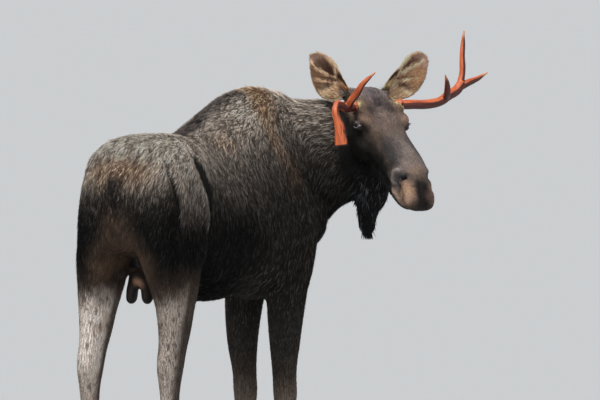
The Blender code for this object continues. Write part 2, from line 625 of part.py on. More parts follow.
# legs: the foot end first, then up
LEG_CUTS = {"foreleg": (0.560, 0.905), "hindleg": (0.690, 1.065)}
LEG_SPAN = {"foreleg": (0.300, 0.800), "hindleg": (-0.800, -0.350)}
for kind, feet in (("foreleg", ("front_left", "front_right")), ("hindleg", ("hind_left", "hind_right"))):
    joint, top = LEG_CUTS[kind]
    x0, x1 = LEG_SPAN[kind]
    for foot in feet:
        name = foot.split("_")[1]
        y0, y1 = (0.0006, 0.45) if name == "left" else (-0.45, -0.0006)
        flesh = boolean(flesh, prism([(x0, -0.05), (x1, -0.05), (x1, CORONET + GAP), (x0, CORONET + GAP)], y0, y1), "DIFFERENCE")
        SOLIDS[kind + "_" + name + "_lower"], flesh = part(flesh, lambda by: prism([(x0, 0.0), (x1, 0.0), (x1, joint), (x0, joint)], y0, y1, None, by))
        SOLIDS[kind + "_" + name + "_upper"], flesh = part(flesh, lambda by: prism([(x0, 0.2), (x1, 0.2), (x1, top), (x0, top)], y0, y1, None, by))

# neck, ahead of a slanted plane that runs from the withers to the breast
NECK_CUT = [(0.0, -0.8), (1.2, -0.8), (1.2, 0.8), (0.0, 0.8)]
neck_frame = np.eye(4)
neck_frame[:3, :3] = turned(0, -22, -24)
neck_frame[:3, 3] = (0.690, -0.020, 1.450)
SOLIDS["neck"], flesh = part(flesh, lambda by: prism(NECK_CUT, -0.9, 0.9, neck_frame, by))
SOLIDS["trunk"] = tidy(flesh)


def against(mesh, *names):
    """mesh without what the named solids fill, a gap clear of them."""
    for name in names:
        mesh = boolean(mesh, grown(SOLIDS[name]), "DIFFERENCE")
    return tidy(mesh)


# ---------------------------------------------------------------- antlers, split at their forks
FORKS = {
    "left": {"brow_tine": ((0.0735, 0.297, 0.104), (0.086, 0.278, 0.165), 0.20, 0.045),
             "upper_tine": ((-0.004, 0.384, 0.140), (-0.085, 0.398, 0.232), 0.30, 0.045),
             "outer_tine": ((0.012, 0.402, 0.121), (-0.006, 0.470, 0.142), 0.20, 0.045)},
    "right": {"brow_tine": ((0.112, -0.142, 0.086), (0.128, -0.124, 0.170), 0.26, 0.060),
              "drop_tine": ((0.128, -0.208, 0.075), (0.242, -0.196, -0.033), 0.22, 0.045)},
}
for side in ("left", "right"):
    antler = evaluated(mesh_of("antler", antler_pieces(side)), ("REMESH", dict(mode="VOXEL", voxel_size=0.005)))
    relax(antler, 3, 0.5)
    antler = tidy(simplified(antler, ANTLER_TRIANGLES if side == "left" else int(ANTLER_TRIANGLES * 0.75)))
    antler = against(antler, "head")
    for tine, (start, toward, reach, half) in FORKS[side].items():
        SOLIDS["antler_" + side + "_" + tine], antler = part(antler, lambda by: block_along(start, toward, reach, half, by))
    SOLIDS["antler_" + side + "_beam"] = tidy(antler)

# ---------------------------------------------------------------- ears
for side in ("left", "right"):
    sheet = mesh_of("ear", [ear_sheet(side, 8, 5)])
    leaf = evaluated(sheet, ("SOLIDIFY", dict(thickness=0.010, offset=0.0)))
    SOLIDS["ear_" + side] = against(leaf, "head")

# ---------------------------------------------------------------- bell, tail and scrotum
SOLIDS["bell"] = against(mesh_of("bell", [loft([r + (2.0, 2.0) for r in BELL], up=(1, 0, 0), n=9, k=9)]), "neck", "head")
SOLIDS["tail"] = against(mesh_of("tail", [loft([r + (2.0, 2.0) for r in TAIL], up=(1, 0, 0), n=8, k=8)]), "trunk")
lobes = evaluated(mesh_of("scrotum", scrotum_pieces()), ("REMESH", dict(mode="VOXEL", voxel_size=0.006)))
relax(lobes, 4, 0.5)
SOLIDS["scrotum"] = against(simplified(lobes, 130), "trunk", "hindleg_left_upper", "hindleg_right_upper")

# ---------------------------------------------------------------- hooves and dewclaws
for foot, kind in (("front_left", "foreleg_left"), ("front_right", "foreleg_right"), ("hind_left", "hindleg_left"), ("hind_right", "hindleg_right")):
    for outer in (True, False):
        end = "_outer" if outer else "_inner"
        SOLIDS["hoof_" + foot + end] = tidy(mesh_of("hoof", [claw(foot, outer)]))
        SOLIDS["dewclaw_" + foot + end] = against(mesh_of("dewclaw", [dewclaw(foot, outer)]), kind + "_lower")

# ---------------------------------------------------------------- objects, materials and place
COLOURS = {
    "coat": ((0.045, 0.036, 0.030), 0.85), "face": ((0.085, 0.066, 0.055), 0.80), "leg": ((0.30, 0.26, 0.22), 0.85),
    "ear": ((0.26, 0.21, 0.16), 0.85), "hair": ((0.012, 0.010, 0.009), 0.75), "antler": ((0.42, 0.105, 0.035), 0.50),
    "horn": ((0.035, 0.028, 0.024), 0.45), "eye": ((0.010, 0.007, 0.005), 0.05), "skin": ((0.10, 0.055, 0.040), 0.60),
}


def material(name):
    m = bpy.data.materials.get(name)
    if m is None:
        m = bpy.data.materials.new(name)
        m.use_nodes = True
        b = m.node_tree.nodes["Principled BSDF"]
        colour, rough = COLOURS[name]
        b.inputs["Base Color"].default_value = colour + (1.0,)
        b.inputs["Roughness"].default_value = rough
        b.inputs["Metallic"].default_value = 0.0
        m.diffuse_color = colour + (1.0,)
    return m


def kind_of(name):
    for start, kind in (("head", "face"), ("ear", "ear"), ("eye", "eye"), ("bell", "hair"), ("tail", "hair"), ("antler", "antler"),
                        ("hoof", "horn"), ("dewclaw", "horn"), ("scrotum", "skin")):
        if name.startswith(start):
            return kind
    return "leg" if name.endswith("_lower") else "coat"


moose = bpy.data.collections.new("moose")
bpy.context.scene.collection.children.link(moose)
low = np.min([coords(m).min(0) for m in SOLIDS.values()], axis=0)
high = np.max([coords(m).max(0) for m in SOLIDS.values()], axis=0)
root = bpy.data.objects.new("moose_root", None)
moose.objects.link(root)
root.location = (-(low[0] + high[0]) / 2, -(low[1] + high[1]) / 2, 0.0)
for name, mesh in SOLIDS.items():
    mesh.name = name
    o = bpy.data.objects.new(name, mesh)
    moose.objects.link(o)
    o.parent = root
    mesh.materials.clear()
    mesh.materials.append(material(kind_of(name)))
    if name.startswith(("eye", "antler")):
        mesh.shade_smooth()
bpy.data.collections.remove(work)
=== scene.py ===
"""The looks of a life-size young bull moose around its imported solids: one skin with eyelids, nostrils and mouth, a coat of
solid tufts that follows the lie of the hair, antlers, eyes and hooves. Everything is in metres."""
import json
import math

import bmesh
import bpy
import numpy as np
from mathutils import Euler, Matrix, Vector
from mathutils.bvhtree import BVHTree

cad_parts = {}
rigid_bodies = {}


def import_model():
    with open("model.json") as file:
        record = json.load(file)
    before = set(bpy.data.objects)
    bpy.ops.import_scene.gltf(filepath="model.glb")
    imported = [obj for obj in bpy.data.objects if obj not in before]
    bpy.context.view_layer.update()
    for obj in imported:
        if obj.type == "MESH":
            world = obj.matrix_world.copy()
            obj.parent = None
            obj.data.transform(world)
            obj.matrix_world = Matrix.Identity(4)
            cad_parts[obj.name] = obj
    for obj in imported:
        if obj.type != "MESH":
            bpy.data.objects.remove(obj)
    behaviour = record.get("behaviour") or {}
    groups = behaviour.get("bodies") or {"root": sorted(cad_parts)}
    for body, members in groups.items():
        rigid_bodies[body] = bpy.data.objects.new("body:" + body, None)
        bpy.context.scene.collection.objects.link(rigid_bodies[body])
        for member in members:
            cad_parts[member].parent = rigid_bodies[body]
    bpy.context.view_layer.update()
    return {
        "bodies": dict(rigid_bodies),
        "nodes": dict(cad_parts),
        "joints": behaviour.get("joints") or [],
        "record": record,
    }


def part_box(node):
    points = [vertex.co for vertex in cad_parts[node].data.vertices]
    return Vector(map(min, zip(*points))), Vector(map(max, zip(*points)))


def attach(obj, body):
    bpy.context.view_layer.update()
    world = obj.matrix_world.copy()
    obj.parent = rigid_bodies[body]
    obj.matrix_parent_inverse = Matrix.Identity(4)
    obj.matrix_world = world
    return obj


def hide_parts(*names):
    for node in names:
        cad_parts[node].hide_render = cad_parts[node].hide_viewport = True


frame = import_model()
rng = np.random.default_rng(20)

# ---------------------------------------------------------------- sizes
# Row frame while modelling: +X is forward along the trunk, +Y the animal's left, +Z up, floor at z = 0.
# The last step moves everything so that the origin is the middle of the box's base.
HEAD_SIZE = 1.03          # the head's frame is in metres times this
HEAD_YAW = -127.5         # degrees from straight ahead, to the animal's right
HEAD_PITCH = 33.0         # nose below level
HEAD_ROLL = -1.5
POLL = (0.866, -0.308, 1.722)       # middle of the head's own frame (forward along the face, left, up)
EYE_R = 0.0190
EYE_AT = (0.157, 0.1000, 0.012)     # centre of the left eyeball in that frame
HOOF_H = 0.088


# ---------------------------------------------------------------- small tools
def curve_through(rows, n):
    """n samples of a smooth curve through rows; the first three columns set the spacing."""
    r = np.array(rows, float)
    d = np.maximum(np.linalg.norm(np.diff(r[:, :3], axis=0), axis=1), 1e-6)
    t = np.concatenate([[0], np.cumsum(d)])
    m = np.zeros_like(r)
    s = np.diff(r, axis=0) / d[:, None]
    m[1:-1] = (s[1:] * d[:-1, None] + s[:-1] * d[1:, None]) / (d[:-1] + d[1:])[:, None]
    m[0], m[-1] = s[0], s[-1]
    q = np.linspace(0, t[-1], n)
    i = np.clip(np.searchsorted(t, q, side="right") - 1, 0, len(d) - 1)
    h = d[i][:, None]
    f = ((q - t[i]) / d[i])[:, None]
    return ((2 * f**3 - 3 * f**2 + 1) * r[i] + (f**3 - 2 * f**2 + f) * h * m[i]
            + (-2 * f**3 + 3 * f**2) * r[i + 1] + (f**3 - f**2) * h * m[i + 1])


def unit(v):
    v = np.asarray(v, float)
    return v / np.maximum(np.linalg.norm(v, axis=-1, keepdims=True), 1e-12)


def ring(width, up, down, n_up, n_down, k):
    """k points of a rounded section: half width, height above and depth below its centre, squareness above and below."""
    a = (np.arange(k) + 0.5) / k * 2 * math.pi
    c, s = np.cos(a), np.sin(a)
    p = np.where(s >= 0, 2.0 / n_up, 2.0 / n_down)
    y = width * np.sign(c) * np.abs(c) ** p
    z = np.where(s >= 0, up, down) * np.sign(s) * np.abs(s) ** p
    return y, z


def loft(rows, up=(0, 0, 1), n=48, k=32, ahead=None, frame=None):
    """A closed tube through rows of (x, y, z, half width, up, down, n_up, n_down), as (points, faces). Its sections face along
    the curve, or along ahead. frame is a 4x4 that places it."""
    r = curve_through(rows, n)
    p = r[:, :3]
    t = unit(np.gradient(p, axis=0)) if ahead is None else np.tile(unit(ahead), (n, 1))
    u = np.tile(np.asarray(up, float), (n, 1))
    u = unit(u - (u * t).sum(1)[:, None] * t)
    side = np.cross(u, t)
    pts = []
    for i in range(n):
        y, z = ring(*r[i, 3:8], k)
        pts.append(p[i] + side[i] * y[:, None] + u[i] * z[:, None])
    pts.append(p[0][None]); pts.append(p[-1][None])
    v = np.concatenate(pts)
    faces = []
    for i in range(n - 1):
        for j in range(k):
            a, b = i * k + j, i * k + (j + 1) % k
            faces.append((a, b, b + k, a + k))
    for j in range(k):
        faces.append((n * k, (j + 1) % k, j))
        faces.append((n * k + 1, (n - 1) * k + j, (n - 1) * k + (j + 1) % k))
    if frame is not None:
        v = v @ frame[:3, :3].T + frame[:3, 3]
    return v, faces


def ball(centre, radii, turn=None, frame=None, seg=24):
    """An ellipsoid as (points, faces); turn is a 3x3 and frame a 4x4 that places it."""
    bm = bmesh.new()
    bmesh.ops.create_uvsphere(bm, u_segments=seg, v_segments=seg // 2, radius=1.0)
    v = np.array([x.co for x in bm.verts]) * np.asarray(radii, float)
    f = [tuple(x.index for x in y.verts) for y in bm.faces]
    bm.free()
    if turn is not None:
        v = v @ np.asarray(turn).T
    v = v + np.asarray(centre, float)
    if frame is not None:
        v = v @ frame[:3, :3].T + frame[:3, 3]
    return v, f


def turned(x=0.0, y=0.0, z=0.0):
    return np.array(Euler((math.radians(x), math.radians(y), math.radians(z)), "XYZ").to_matrix())


def mesh_of(name, pieces):
    """One mesh from several (points, faces)."""
    v, f, at = [], [], 0
    for pv, pf in pieces:
        v.append(pv)
        f += [tuple(i + at for i in q) for q in pf]
        at += len(pv)
    m = bpy.data.meshes.new(name)
    m.from_pydata(np.concatenate(v).tolist(), [], f)
    bm = bmesh.new()
    bm.from_mesh(m)
    bmesh.ops.recalc_face_normals(bm, faces=bm.faces)
    bm.to_mesh(m)
    bm.free()
    return m


def evaluated(mesh, *mods):
    """The mesh after modifiers given as (type, {settings})."""
    o = bpy.data.objects.new("work", mesh)
    bpy.context.scene.collection.objects.link(o)
    for kind, settings in mods:
        m = o.modifiers.new(kind.lower(), kind)
        for key, value in settings.items():
            setattr(m, key, value)
    dg = bpy.context.evaluated_depsgraph_get()
    dg.update()
    out = bpy.data.meshes.new_from_object(o.evaluated_get(dg), preserve_all_data_layers=True, depsgraph=dg)
    bpy.data.objects.remove(o)
    return out


def coords(mesh):
    v = np.zeros(len(mesh.vertices) * 3)
    mesh.vertices.foreach_get("co", v)
    return v.reshape(-1, 3)


def set_coords(mesh, v):
    mesh.vertices.foreach_set("co", np.asarray(v, np.float64).ravel())
    mesh.update()


def edges_of(mesh):
    e = np.zeros(len(mesh.edges) * 2, np.int64)
    mesh.edges.foreach_get("vertices", e)
    return e.reshape(-1, 2)


def relax(mesh, times, share=0.5, weight=None, back=0.0):
    """Laplacian smoothing of a mesh, weighted per vertex; back above 0 undoes the shrinking."""
    v, e = coords(mesh), edges_of(mesh)
    n = len(v)
    count = np.bincount(e.ravel(), minlength=n)[:, None]
    w = np.ones(n) if weight is None else weight
    for _ in range(times):
        for s in ([share, -back] if back else [share]):
            total = np.stack([np.bincount(e[:, 0], v[e[:, 1], k], n) + np.bincount(e[:, 1], v[e[:, 0], k], n) for k in range(3)], 1)
            v = v + (s * w)[:, None] * (total / np.maximum(count, 1) - v)
    set_coords(mesh, v)


def smooth01(a, b, x):
    t = np.clip((x - a) / (b - a), 0, 1)
    return t * t * (3 - 2 * t)


def bump_at(v, centre, reach, power=2.0):
    """1 at centre, falling smoothly to 0 at reach, which is one radius or three."""
    d = np.linalg.norm((v - np.asarray(centre)) / np.asarray(reach, float), axis=1)
    return np.clip(1 - d**power, 0, 1) ** 2


# ---------------------------------------------------------------- frames
def head_frame():
    r = Euler((math.radians(HEAD_ROLL), math.radians(HEAD_PITCH), math.radians(HEAD_YAW)), "XYZ").to_matrix()
    f = np.eye(4)
    f[:3, :3] = np.array(r) * HEAD_SIZE
    f[:3, 3] = POLL
    return f


HEAD = head_frame()


def to_head(v):
    return (np.asarray(v) - HEAD[:3, 3]) @ HEAD[:3, :3] / HEAD_SIZE**2


def from_head(v):
    return np.asarray(v) @ HEAD[:3, :3].T + HEAD[:3, 3]


# ---------------------------------------------------------------- body
# name: x, height of the widest point, half width, top, bottom, squareness above and below
TRUNK = [
    (-0.722, 1.330, 0.040, 1.390, 1.270, 2.0, 2.0),   # under the tail
    (-0.700, 1.320, 0.125, 1.470, 1.205, 2.2, 2.0),
    (-0.650, 1.310, 0.185, 1.548, 1.165, 2.6, 2.0),   # tail head
    (-0.565, 1.320, 0.222, 1.604, 1.145, 3.0, 2.0),
    (-0.450, 1.340, 0.236, 1.626, 1.120, 3.0, 2.0),   # croup
    (-0.320, 1.320, 0.236, 1.626, 1.050, 2.7, 2.0),   # hips
    (-0.200, 1.290, 0.238, 1.618, 0.985, 2.1, 2.0),   # loin
    (-0.100, 1.270, 0.254, 1.648, 0.955, 1.75, 2.1),
    (0.000, 1.260, 0.266, 1.696, 0.946, 1.6, 2.1),    # barrel
    (0.100, 1.260, 0.268, 1.738, 0.950, 1.5, 2.1),
    (0.200, 1.265, 0.262, 1.774, 0.962, 1.6, 2.1),
    (0.320, 1.270, 0.245, 1.801, 0.955, 1.75, 2.0),
    (0.440, 1.270, 0.228, 1.810, 0.935, 1.85, 2.0),    # hump
    (0.570, 1.290, 0.212, 1.800, 0.945, 1.85, 2.0),
    (0.690, 1.310, 0.172, 1.778, 1.020, 1.8, 2.0),    # point of the shoulder
    (0.785, 1.330, 0.112, 1.660, 1.110, 2.0, 2.0),
    (0.835, 1.340, 0.050, 1.480, 1.220, 2.0, 2.0),
]
# x, y (outwards), z, half width, ahead, behind
FORELEG = [
    (0.400, 0.060, 1.640, 0.045, 0.090, 0.090),       # top of the shoulder blade
    (0.440, 0.112, 1.450, 0.085, 0.150, 0.160),
    (0.500, 0.154, 1.260, 0.098, 0.150, 0.160),       # shoulder
    (0.500, 0.160, 1.110, 0.092, 0.118, 0.140),
    (0.490, 0.148, 0.990, 0.082, 0.100, 0.115),       # elbow
    (0.500, 0.135, 0.880, 0.072, 0.092, 0.094),
    (0.512, 0.126, 0.760, 0.061, 0.075, 0.078),       # forearm
    (0.520, 0.120, 0.630, 0.050, 0.056, 0.056),
    (0.524, 0.120, 0.550, 0.050, 0.060, 0.052),       # knee
    (0.519, 0.120, 0.475, 0.041, 0.044, 0.047),
    (0.516, 0.120, 0.360, 0.034, 0.036, 0.040),       # cannon
    (0.516, 0.120, 0.255, 0.035, 0.036, 0.043),
    (0.521, 0.120, 0.200, 0.042, 0.042, 0.051),       # fetlock
    (0.541, 0.120, 0.145, 0.043, 0.040, 0.044),
    (0.561, 0.120, 0.095, 0.049, 0.050, 0.050),       # coronet
    (0.569, 0.120, 0.060, 0.047, 0.050, 0.046),
]
HINDLEG = [
    (-0.420, 0.095, 1.480, 0.090, 0.150, 0.190),      # hip
    (-0.455, 0.118, 1.350, 0.106, 0.165, 0.215),
    (-0.480, 0.134, 1.230, 0.106, 0.150, 0.195),      # thigh
    (-0.500, 0.150, 1.112, 0.093, 0.140, 0.165),
    (-0.520, 0.155, 1.016, 0.084, 0.114, 0.130),      # stifle and gaskin
    (-0.540, 0.156, 0.952, 0.073, 0.100, 0.114),
    (-0.568, 0.156, 0.852, 0.060, 0.083, 0.091),
    (-0.590, 0.156, 0.785, 0.052, 0.072, 0.081),
    (-0.612, 0.156, 0.705, 0.050, 0.062, 0.080),      # hock
    (-0.618, 0.156, 0.625, 0.041, 0.048, 0.057),
    (-0.612, 0.156, 0.500, 0.035, 0.038, 0.045),      # cannon
    (-0.604, 0.156, 0.360, 0.033, 0.036, 0.043),
    (-0.598, 0.156, 0.255, 0.036, 0.037, 0.045),
    (-0.592, 0.156, 0.200, 0.042, 0.042, 0.052),      # fetlock
    (-0.572, 0.156, 0.145, 0.043, 0.040, 0.044),
    (-0.552, 0.156, 0.095, 0.049, 0.050, 0.050),      # coronet
    (-0.544, 0.156, 0.060, 0.047, 0.050, 0.046),
]
HAMSTRING = [
    (-0.560, 0.100, 1.520, 0.060, 0.090, 0.060),
    (-0.595, 0.116, 1.420, 0.080, 0.100, 0.100),
    (-0.608, 0.120, 1.300, 0.085, 0.110, 0.108),
    (-0.604, 0.128, 1.180, 0.082, 0.105, 0.102),
    (-0.594, 0.142, 1.080, 0.072, 0.090, 0.086),
    (-0.590, 0.152, 0.980, 0.058, 0.075, 0.070),
    (-0.602, 0.156, 0.880, 0.042, 0.050, 0.052),
    (-0.630, 0.156, 0.780, 0.026, 0.030, 0.036),      # cord above the hock
    (-0.656, 0.156, 0.720, 0.022, 0.020, 0.026),
]
# how far each foot stands ahead of its rows, and out from them
STEP = {"front_left": (0.046, -0.025), "front_right": (0.012, -0.015), "hind_left": (0.000, 0.006), "hind_right": (0.055, 0.010)}
NECK = [
    (0.300, 0.000, 1.430, 0.150, 0.320, 0.280),
    (0.520, -0.010, 1.440, 0.170, 0.350, 0.310),
    (0.680, -0.060, 1.480, 0.160, 0.305, 0.310),
    (0.800, -0.150, 1.530, 0.148, 0.237, 0.235),
    (0.870, -0.240, 1.570, 0.130, 0.200, 0.225),
    (0.885, -0.310, 1.610, 0.112, 0.150, 0.190),
]
# along the head from the poll, widest height, half width, top, bottom, squareness above and below
SKULL = [
    (-0.075, -0.030, 0.045, 0.030, -0.080, 2.0, 2.0),
    (-0.045, -0.025, 0.080, 0.062, -0.125, 2.0, 2.0),
    (0.010, -0.020, 0.097, 0.084, -0.150, 2.1, 2.0),
    (0.070, -0.010, 0.103, 0.082, -0.160, 2.4, 1.9),
    (0.130, 0.000, 0.098, 0.074, -0.160, 2.5, 1.8),
    (0.190, 0.000, 0.088, 0.064, -0.148, 2.4, 1.8),
    (0.265, 0.000, 0.080, 0.060, -0.126, 2.3, 1.8),
    (0.340, -0.004, 0.078, 0.063, -0.104, 2.2, 1.9),
    (0.415, -0.012, 0.078, 0.066, -0.090, 2.2, 2.0),
    (0.480, -0.020, 0.076, 0.060, -0.084, 2.2, 2.2),
    (0.540, -0.032, 0.067, 0.040, -0.087, 2.2, 2.4),
    (0.585, -0.044, 0.066, 0.013, -0.090, 2.2, 2.4),
    (0.612, -0.054, 0.066, -0.012, -0.088, 2.2, 2.2),
    (0.628, -0.060, 0.059, -0.032, -0.083, 2.0, 2.0),
    (0.637, -0.062, 0.040, -0.046, -0.076, 2.0, 2.0),
]
JAW = [
    (0.060, -0.110, 0.060, -0.050, -0.165, 2.0, 2.0),
    (0.160, -0.120, 0.060, -0.060, -0.170, 2.0, 2.0),
    (0.290, -0.110, 0.048, -0.060, -0.152, 2.0, 2.0),
    (0.400, -0.108, 0.046, -0.060, -0.142, 2.0, 2.0),
    (0.475, -0.108, 0.048, -0.070, -0.140, 2.0, 2.0),
    (0.520, -0.106, 0.046, -0.075, -0.136, 2.0, 2.0),
    (0.552, -0.104, 0.036, -0.080, -0.128, 2.0, 2.0),
    (0.570, -0.102, 0.018, -0.088, -0.116, 2.0, 2.0),
]
# antlers, in the head's frame: forward, left, up, half width, half thickness
ANTLERS = {
    "left": {
        "beam": [(0.082, 0.080, 0.060, 0.0190, 0.0190), (0.081, 0.153, 0.064, 0.0190, 0.0190), (0.075, 0.218, 0.062, 0.0185, 0.0180),
                 (0.066, 0.281, 0.072, 0.0185, 0.0180), (0.049, 0.322, 0.092, 0.0200, 0.0185), (0.033, 0.356, 0.101, 0.0200, 0.0170),
                 (0.010, 0.386, 0.128, 0.0180, 0.0150)],
        "brow": [(0.056, 0.308, 0.078, 0.0150, 0.0140), (0.080, 0.292, 0.118, 0.0145, 0.0125), (0.086, 0.278, 0.160, 0.0115, 0.0100),
                 (0.077, 0.258, 0.207, 0.0025, 0.0025)],
        "upper": [(0.018, 0.376, 0.116, 0.0150, 0.0130), (-0.022, 0.391, 0.160, 0.0125, 0.0115), (-0.060, 0.394, 0.200, 0.0110, 0.0105),
                  (-0.098, 0.400, 0.245, 0.0085, 0.0085), (-0.131, 0.406, 0.285, 0.0030, 0.0030)],
        "outer": [(0.026, 0.366, 0.108, 0.0150, 0.0130), (0.008, 0.412, 0.124, 0.0145, 0.0125), (-0.004, 0.455, 0.136, 0.0110, 0.0100),
                  (-0.013, 0.500, 0.162, 0.0030, 0.0030)],
    },
    "right": {
        "beam": [(0.090, -0.103, 0.058, 0.0180, 0.0180), (0.096, -0.118, 0.057, 0.0180, 0.0180), (0.107, -0.150, 0.058, 0.0175, 0.0170),
                 (0.111, -0.186, 0.076, 0.0165, 0.0160), (0.114, -0.204, 0.080, 0.0150, 0.0150)],
        "brow": [(0.104, -0.140, 0.058, 0.0150, 0.0140), (0.116, -0.142, 0.100, 0.0150, 0.0140), (0.122, -0.134, 0.130, 0.0145, 0.0135),
                 (0.130, -0.119, 0.192, 0.0110, 0.0105), (0.137, -0.086, 0.249, 0.0030, 0.0030)],
        "drop": [(0.112, -0.196, 0.084, 0.0140, 0.0120), (0.134, -0.210, 0.072, 0.0145, 0.0125), (0.188, -0.203, 0.026, 0.0195, 0.0115),
                 (0.242, -0.198, -0.033, 0.0262, 0.0110)],
    },
}
# base, tip and opening direction of each ear in the head's frame
EARS = {
    "left": ((-0.030, 0.088, 0.040), (-0.101, 0.254, 0.179), (0.80, 0.12, 0.50)),
    "right": ((-0.024, -0.090, 0.036), (-0.136, -0.225, 0.146), (0.80, -0.42, 0.42)),
}
# along the ear, half width, how far the rims stand forward of the middle
EAR = [(0.00, 0.032, 0.032), (0.12, 0.043, 0.037), (0.30, 0.054, 0.035), (0.50, 0.055, 0.028), (0.70, 0.048, 0.019), (0.86, 0.035, 0.010),
       (0.96, 0.021, 0.004), (1.00, 0.008, 0.001)]
# x, y, z, half width, ahead, behind
BELL = [(0.858, -0.312, 1.540, 0.064, 0.060, 0.060), (0.860, -0.328, 1.440, 0.070, 0.058, 0.058), (0.862, -0.338, 1.375, 0.078, 0.052, 0.052),
        (0.857, -0.334, 1.340, 0.071, 0.048, 0.048), (0.850, -0.325, 1.305, 0.056, 0.042, 0.042), (0.847, -0.323, 1.270, 0.046, 0.036, 0.036),
        (0.846, -0.323, 1.235, 0.039, 0.030, 0.030), (0.846, -0.323, 1.205, 0.030, 0.023, 0.023), (0.845, -0.323, 1.188, 0.012, 0.010, 0.010)]
TAIL = [(-0.640, 0.0, 1.505, 0.030, 0.024, 0.024), (-0.690, 0.0, 1.492, 0.031, 0.022, 0.022), (-0.722, 0.0, 1.455, 0.030, 0.018, 0.018),
        (-0.735, 0.0, 1.410, 0.026, 0.015, 0.015), (-0.739, 0.0, 1.375, 0.019, 0.012, 0.012), (-0.739, 0.0, 1.350, 0.007, 0.006, 0.006)]


def trunk_rows(table):
    return [(x, 0.0, z, w, top - z, z - low, a, b) for x, z, w, top, low, a, b in table]


def leg_rows(table, side, foot):
    ahead, out = STEP[foot]
    rows = []
    for x, y, z, w, f, b in table:
        g = float(smooth01(1.45, 0.70, z))
        sway = 0.010 * math.exp(-((z - 1.05) / 0.16) ** 2) if foot.startswith("hind") else 0.0      # hips carried a little to the left
        lead = math.exp(-((z - 1.00) / 0.13) ** 2) if foot == "front_left" else 0.0                  # its elbow carried ahead
        rows.append((x + ahead * g + 0.058 * lead, side * (y + out * g - 0.030 * lead) + sway, z, w, f, b, 2.0, 2.0))
    return rows


def leg_centre(foot, z):
    """x, y of a leg's middle at a height."""
    table = FORELEG if foot.startswith("front") else HINDLEG
    rows = np.array(leg_rows(table, 1 if foot.endswith("left") else -1, foot))
    return np.array([np.interp(-z, -rows[:, 2], rows[:, k]) for k in (0, 1)])


def body_pieces():
    """The closed shapes whose union is the body without ears, antlers, eyes and hooves."""
    out = [loft(trunk_rows(TRUNK), n=72, k=40, ahead=(1, 0, 0))]
    for foot, table in (("front_left", FORELEG), ("front_right", FORELEG), ("hind_left", HINDLEG), ("hind_right", HINDLEG)):
        side = 1 if foot.endswith("left") else -1
        out.append(loft(leg_rows(table, side, foot), up=(1, 0, 0), n=110, k=28))
    out.append(loft([r + (1.8, 1.9) for r in NECK], n=48, k=36))
    for side in (1, -1):
        # hamstrings, stifle, upper arm and elbow
        out.append(loft(leg_rows(HAMSTRING, side, "hind_left" if side > 0 else "hind_right"), up=(1, 0, 0), n=60, k=24))
        out.append(ball((-0.400, side * 0.150, 1.200), (0.095, 0.082, 0.160), turned(0, -12, 0)))
        out.append(ball((0.570, side * 0.130, 1.230), (0.130, 0.095, 0.140)))
        out.append(ball((0.400, side * 0.150, 1.080), (0.080, 0.060, 0.110), turned(0, -15, 0)))
    out.append(ball((0.620, 0.0, 1.100), (0.140, 0.125, 0.140)))
    out.append(ball((0.640, -0.110, 1.320), (0.115, 0.100, 0.120)))      # foot of the neck on the inside of its bend
    out.append(ball((0.640, -0.128, 1.260), (0.105, 0.112, 0.125)))      # breast
    # head
    out.append(loft(trunk_rows(SKULL), n=64, k=40, ahead=(1, 0, 0), frame=HEAD))
    out.append(loft(trunk_rows(JAW), n=36, k=24, ahead=(1, 0, 0), frame=HEAD))
    for side in (1, -1):
        out.append(ball((0.152, side * 0.079, 0.038), (0.050, 0.034, 0.026), turned(0, 0, side * -8), HEAD))    # brow
        out.append(ball((0.085, side * 0.088, 0.055), (0.032, 0.034, 0.029), None, HEAD))                      # root of the antler
        out.append(ball((-0.026, side * 0.078, 0.036), (0.036, 0.036, 0.036), None, HEAD))                     # root of the ear
        out.append(ball((0.130, side * 0.066, -0.070), (0.110, 0.040, 0.085), None, HEAD))                     # cheek
        out.append(ball((0.525, side * 0.040, -0.016), (0.056, 0.031, 0.040), None, HEAD))                     # nostril
        out.append(ball((0.530, side * 0.042, -0.064), (0.074, 0.031, 0.032), None, HEAD))                     # upper lip
    out.append(ball((0.020, 0.0, 0.048), (0.070, 0.080, 0.045), None, HEAD))
    return out


def scrotum_pieces():
    out = []
    for side in (1, -1):
        rows = [(-0.500, side * 0.020, 1.100, 0.024, 0.030, 0.030, 2.0, 2.0), (-0.505, side * 0.028, 1.040, 0.026, 0.030, 0.030, 2.0, 2.0),
                (-0.508, side * 0.034, 0.990, 0.026, 0.032, 0.032, 2.0, 2.0), (-0.508, side * 0.036, 0.958, 0.020, 0.026, 0.026, 2.0, 2.0),
                (-0.507, side * 0.036, 0.945, 0.006, 0.008, 0.008, 2.0, 2.0)]
        out.append(loft(rows, up=(1, 0, 0), n=18, k=16))
    out.append(ball((-0.525, 0.0, 1.060), (0.030, 0.034, 0.034)))
    return out


def antler_pieces(side):
    """The beam and tines of one antler as closed tubes."""
    out = []
    for rows in ANTLERS[side].values():
        r = [(a, b, c, w, t, t, 2.0, 2.0) for a, b, c, w, t in rows]
        out.append(loft(r, up=(0.76, -0.41, 0.50), n=40, k=16, frame=HEAD))
    return out


